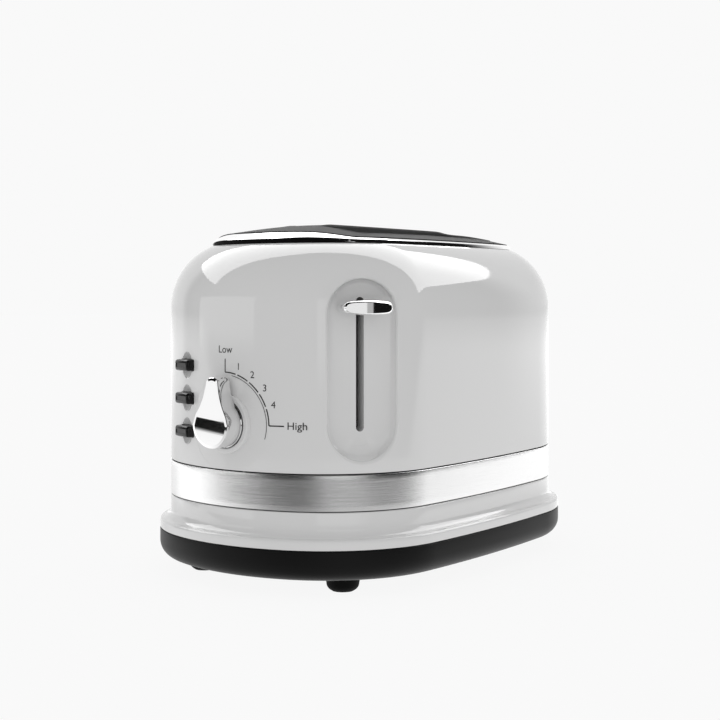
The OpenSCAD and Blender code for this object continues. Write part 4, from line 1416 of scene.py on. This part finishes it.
# floor and studio
studioSet = {
    "backdrop": 0.947,
    "even": 0.67,
    "dark": 0.007,
    "floorSize": 16,
    "floorSeen": 0.971,
    "floorLit": 0.77,
    "floorTone": 0.9,
    "floorShare": 0.06,
}
clearSelect()
bpy.ops.mesh.primitive_plane_add(size=studioSet["floorSize"], location=(0, 0, 0))
studioFloor = bpy.context.object
studioFloor.name = "studioFloor"
studioFloor.visible_glossy = False
floorFinish = bpy.data.materials.new("paleFloor")
floorWire = blankTree(floorFinish)
floorView = floorWire.node("ShaderNodeLightPath", out="Is Camera Ray")
floorGain = studioSet["floorSeen"] - studioSet["floorLit"]
floorLevel = floorView * floorGain + studioSet["floorLit"]
floorGlow = floorWire.node(
    "ShaderNodeEmission", {}, {"Color": grey(1), "Strength": floorLevel})
floorMatt = floorWire.node("ShaderNodeBsdfDiffuse", {}, {"Color": grey(studioSet["floorTone"])})
floorMix = floorWire.node(
    "ShaderNodeMixShader", {}, {0: studioSet["floorShare"], 1: floorGlow, 2: floorMatt})
floorWire.node("ShaderNodeOutputMaterial", {}, {"Surface": floorMix})
studioFloor.data.materials.append(floorFinish)

# each panel of light is a set of planes that bound it, in the camera's right, forward and up,
# with a fourth number where a plane stands off the middle
panels = {
    "overhead": {
        "level": 3.7,
        "soft": 0.008,
        "sides": [(0, 1, -0.22), (0, -1, 1.3), (1, -0.864, 2.32), (-1, -1.342, 3.67)],
    },
    "left": {
        "level": 1.03,
        "soft": 0.012,
        "sides": [
            (-0.204, -0.979, 0), (-0.55, 0.835, 0), (-0.151, -0.115, -0.678), (0, 0, 1, 0.035)],
    },
    "behindCamera": {
        "level": 0.85,
        "soft": 0.02,
        "sides": [
            (0.99, -0.14, 0), (-0.875, -0.485, 0), (0, 0, -1, 0.25), (0, 0, 1, 0.06), (0, -1, 0)],
    },
    "behindRight": {
        "level": 0.45,
        "soft": 0.02,
        "sides": [
            (0.875, 0.485, 0), (-0.79, -0.62, 0), (0, 0, -1, 0.25), (0, 0, 1, 0.06), (0, -1, 0)],
    },
    "backWall": {
        "level": 1.05,
        "soft": 0.08,
        "sides": [(0, 1, 0, -0.5), (0, 0, 1, 0.05), (0, 0, -1, 0.62)],
    },
}
# the table in reflections: its light changes with the way the reflection goes, and it ends
# nearer the camera
tableSet = {
    "near": 0.30,
    "right": (-0.3, 0.15, 0.32),
    "left": (-0.6, -0.95, 0.55),
    "far": (-0.5, 0.45, 0.66),
    "edge": 0.105,
    "edgeTurn": (-0.3, 0.2),
    "soft": 0.045,
}
cameraTurn = radians(cameraSet["turn"])
cameraRight = Vector((cos(cameraTurn), sin(cameraTurn), 0))
cameraForward = Vector((-sin(cameraTurn), cos(cameraTurn), 0))
upWay = Vector((0, 0, 1))


def ramp(wire, value, first, last, top=1.0):
    sockets = {0: value, 1: first, 2: last, 3: 0.0, 4: top}
    return wire.node("ShaderNodeMapRange", {"interpolation_type": "SMOOTHSTEP"}, sockets)


def panelMask(wire, ways, panel):
    mask = None
    for side in panel["sides"]:
        reach = sum((way * weight for way, weight in zip(ways, side[:3]) if weight), 0.0)
        if len(side) == 4:
            reach = reach + side[3]
        share = ramp(wire, reach, -panel["soft"], panel["soft"])
        mask = share if mask is None else mask * share
    return mask


studio = bpy.data.worlds.new("studio")
bpy.context.scene.world = studio
studio.cycles.sampling_method = "NONE"
sky = blankTree(studio)
lookWay = sky.node("ShaderNodeTexCoord", out="Generated")
dotProduct = {"operation": "DOT_PRODUCT"}
ways = [
    sky.node("ShaderNodeVectorMath", dotProduct, {0: lookWay, 1: way}, out="Value")
    for way in (cameraRight, cameraForward, upWay)
]
glossLight = studioSet["dark"]
for panel in panels.values():
    glossLight = panelMask(sky, ways, panel) * panel["level"] + glossLight
rightWay, farWay, highWay = ways
edgeShift = tableSet["edge"] * (1 - ramp(sky, farWay, *tableSet["edgeTurn"]))
tableMask = ramp(sky, highWay + edgeShift, 0.0, -tableSet["soft"])
tableLight = (
    tableSet["near"] + ramp(sky, rightWay, *tableSet["right"])
    + ramp(sky, rightWay, *tableSet["left"]) + ramp(sky, farWay, *tableSet["far"]))
glossLight = tableMask * tableLight + glossLight
isCamera = sky.node("ShaderNodeLightPath", out="Is Camera Ray")
isGlossy = sky.node("ShaderNodeLightPath", out="Is Glossy Ray")
level = (
    isCamera * studioSet["backdrop"]
    + isGlossy * glossLight
    + (1 - isCamera) * (1 - isGlossy) * studioSet["even"])
backdrop = sky.node("ShaderNodeBackground", {}, {"Color": grey(1), "Strength": level})
sky.node("ShaderNodeOutputWorld", {}, {"Surface": backdrop})
print("studio lit")
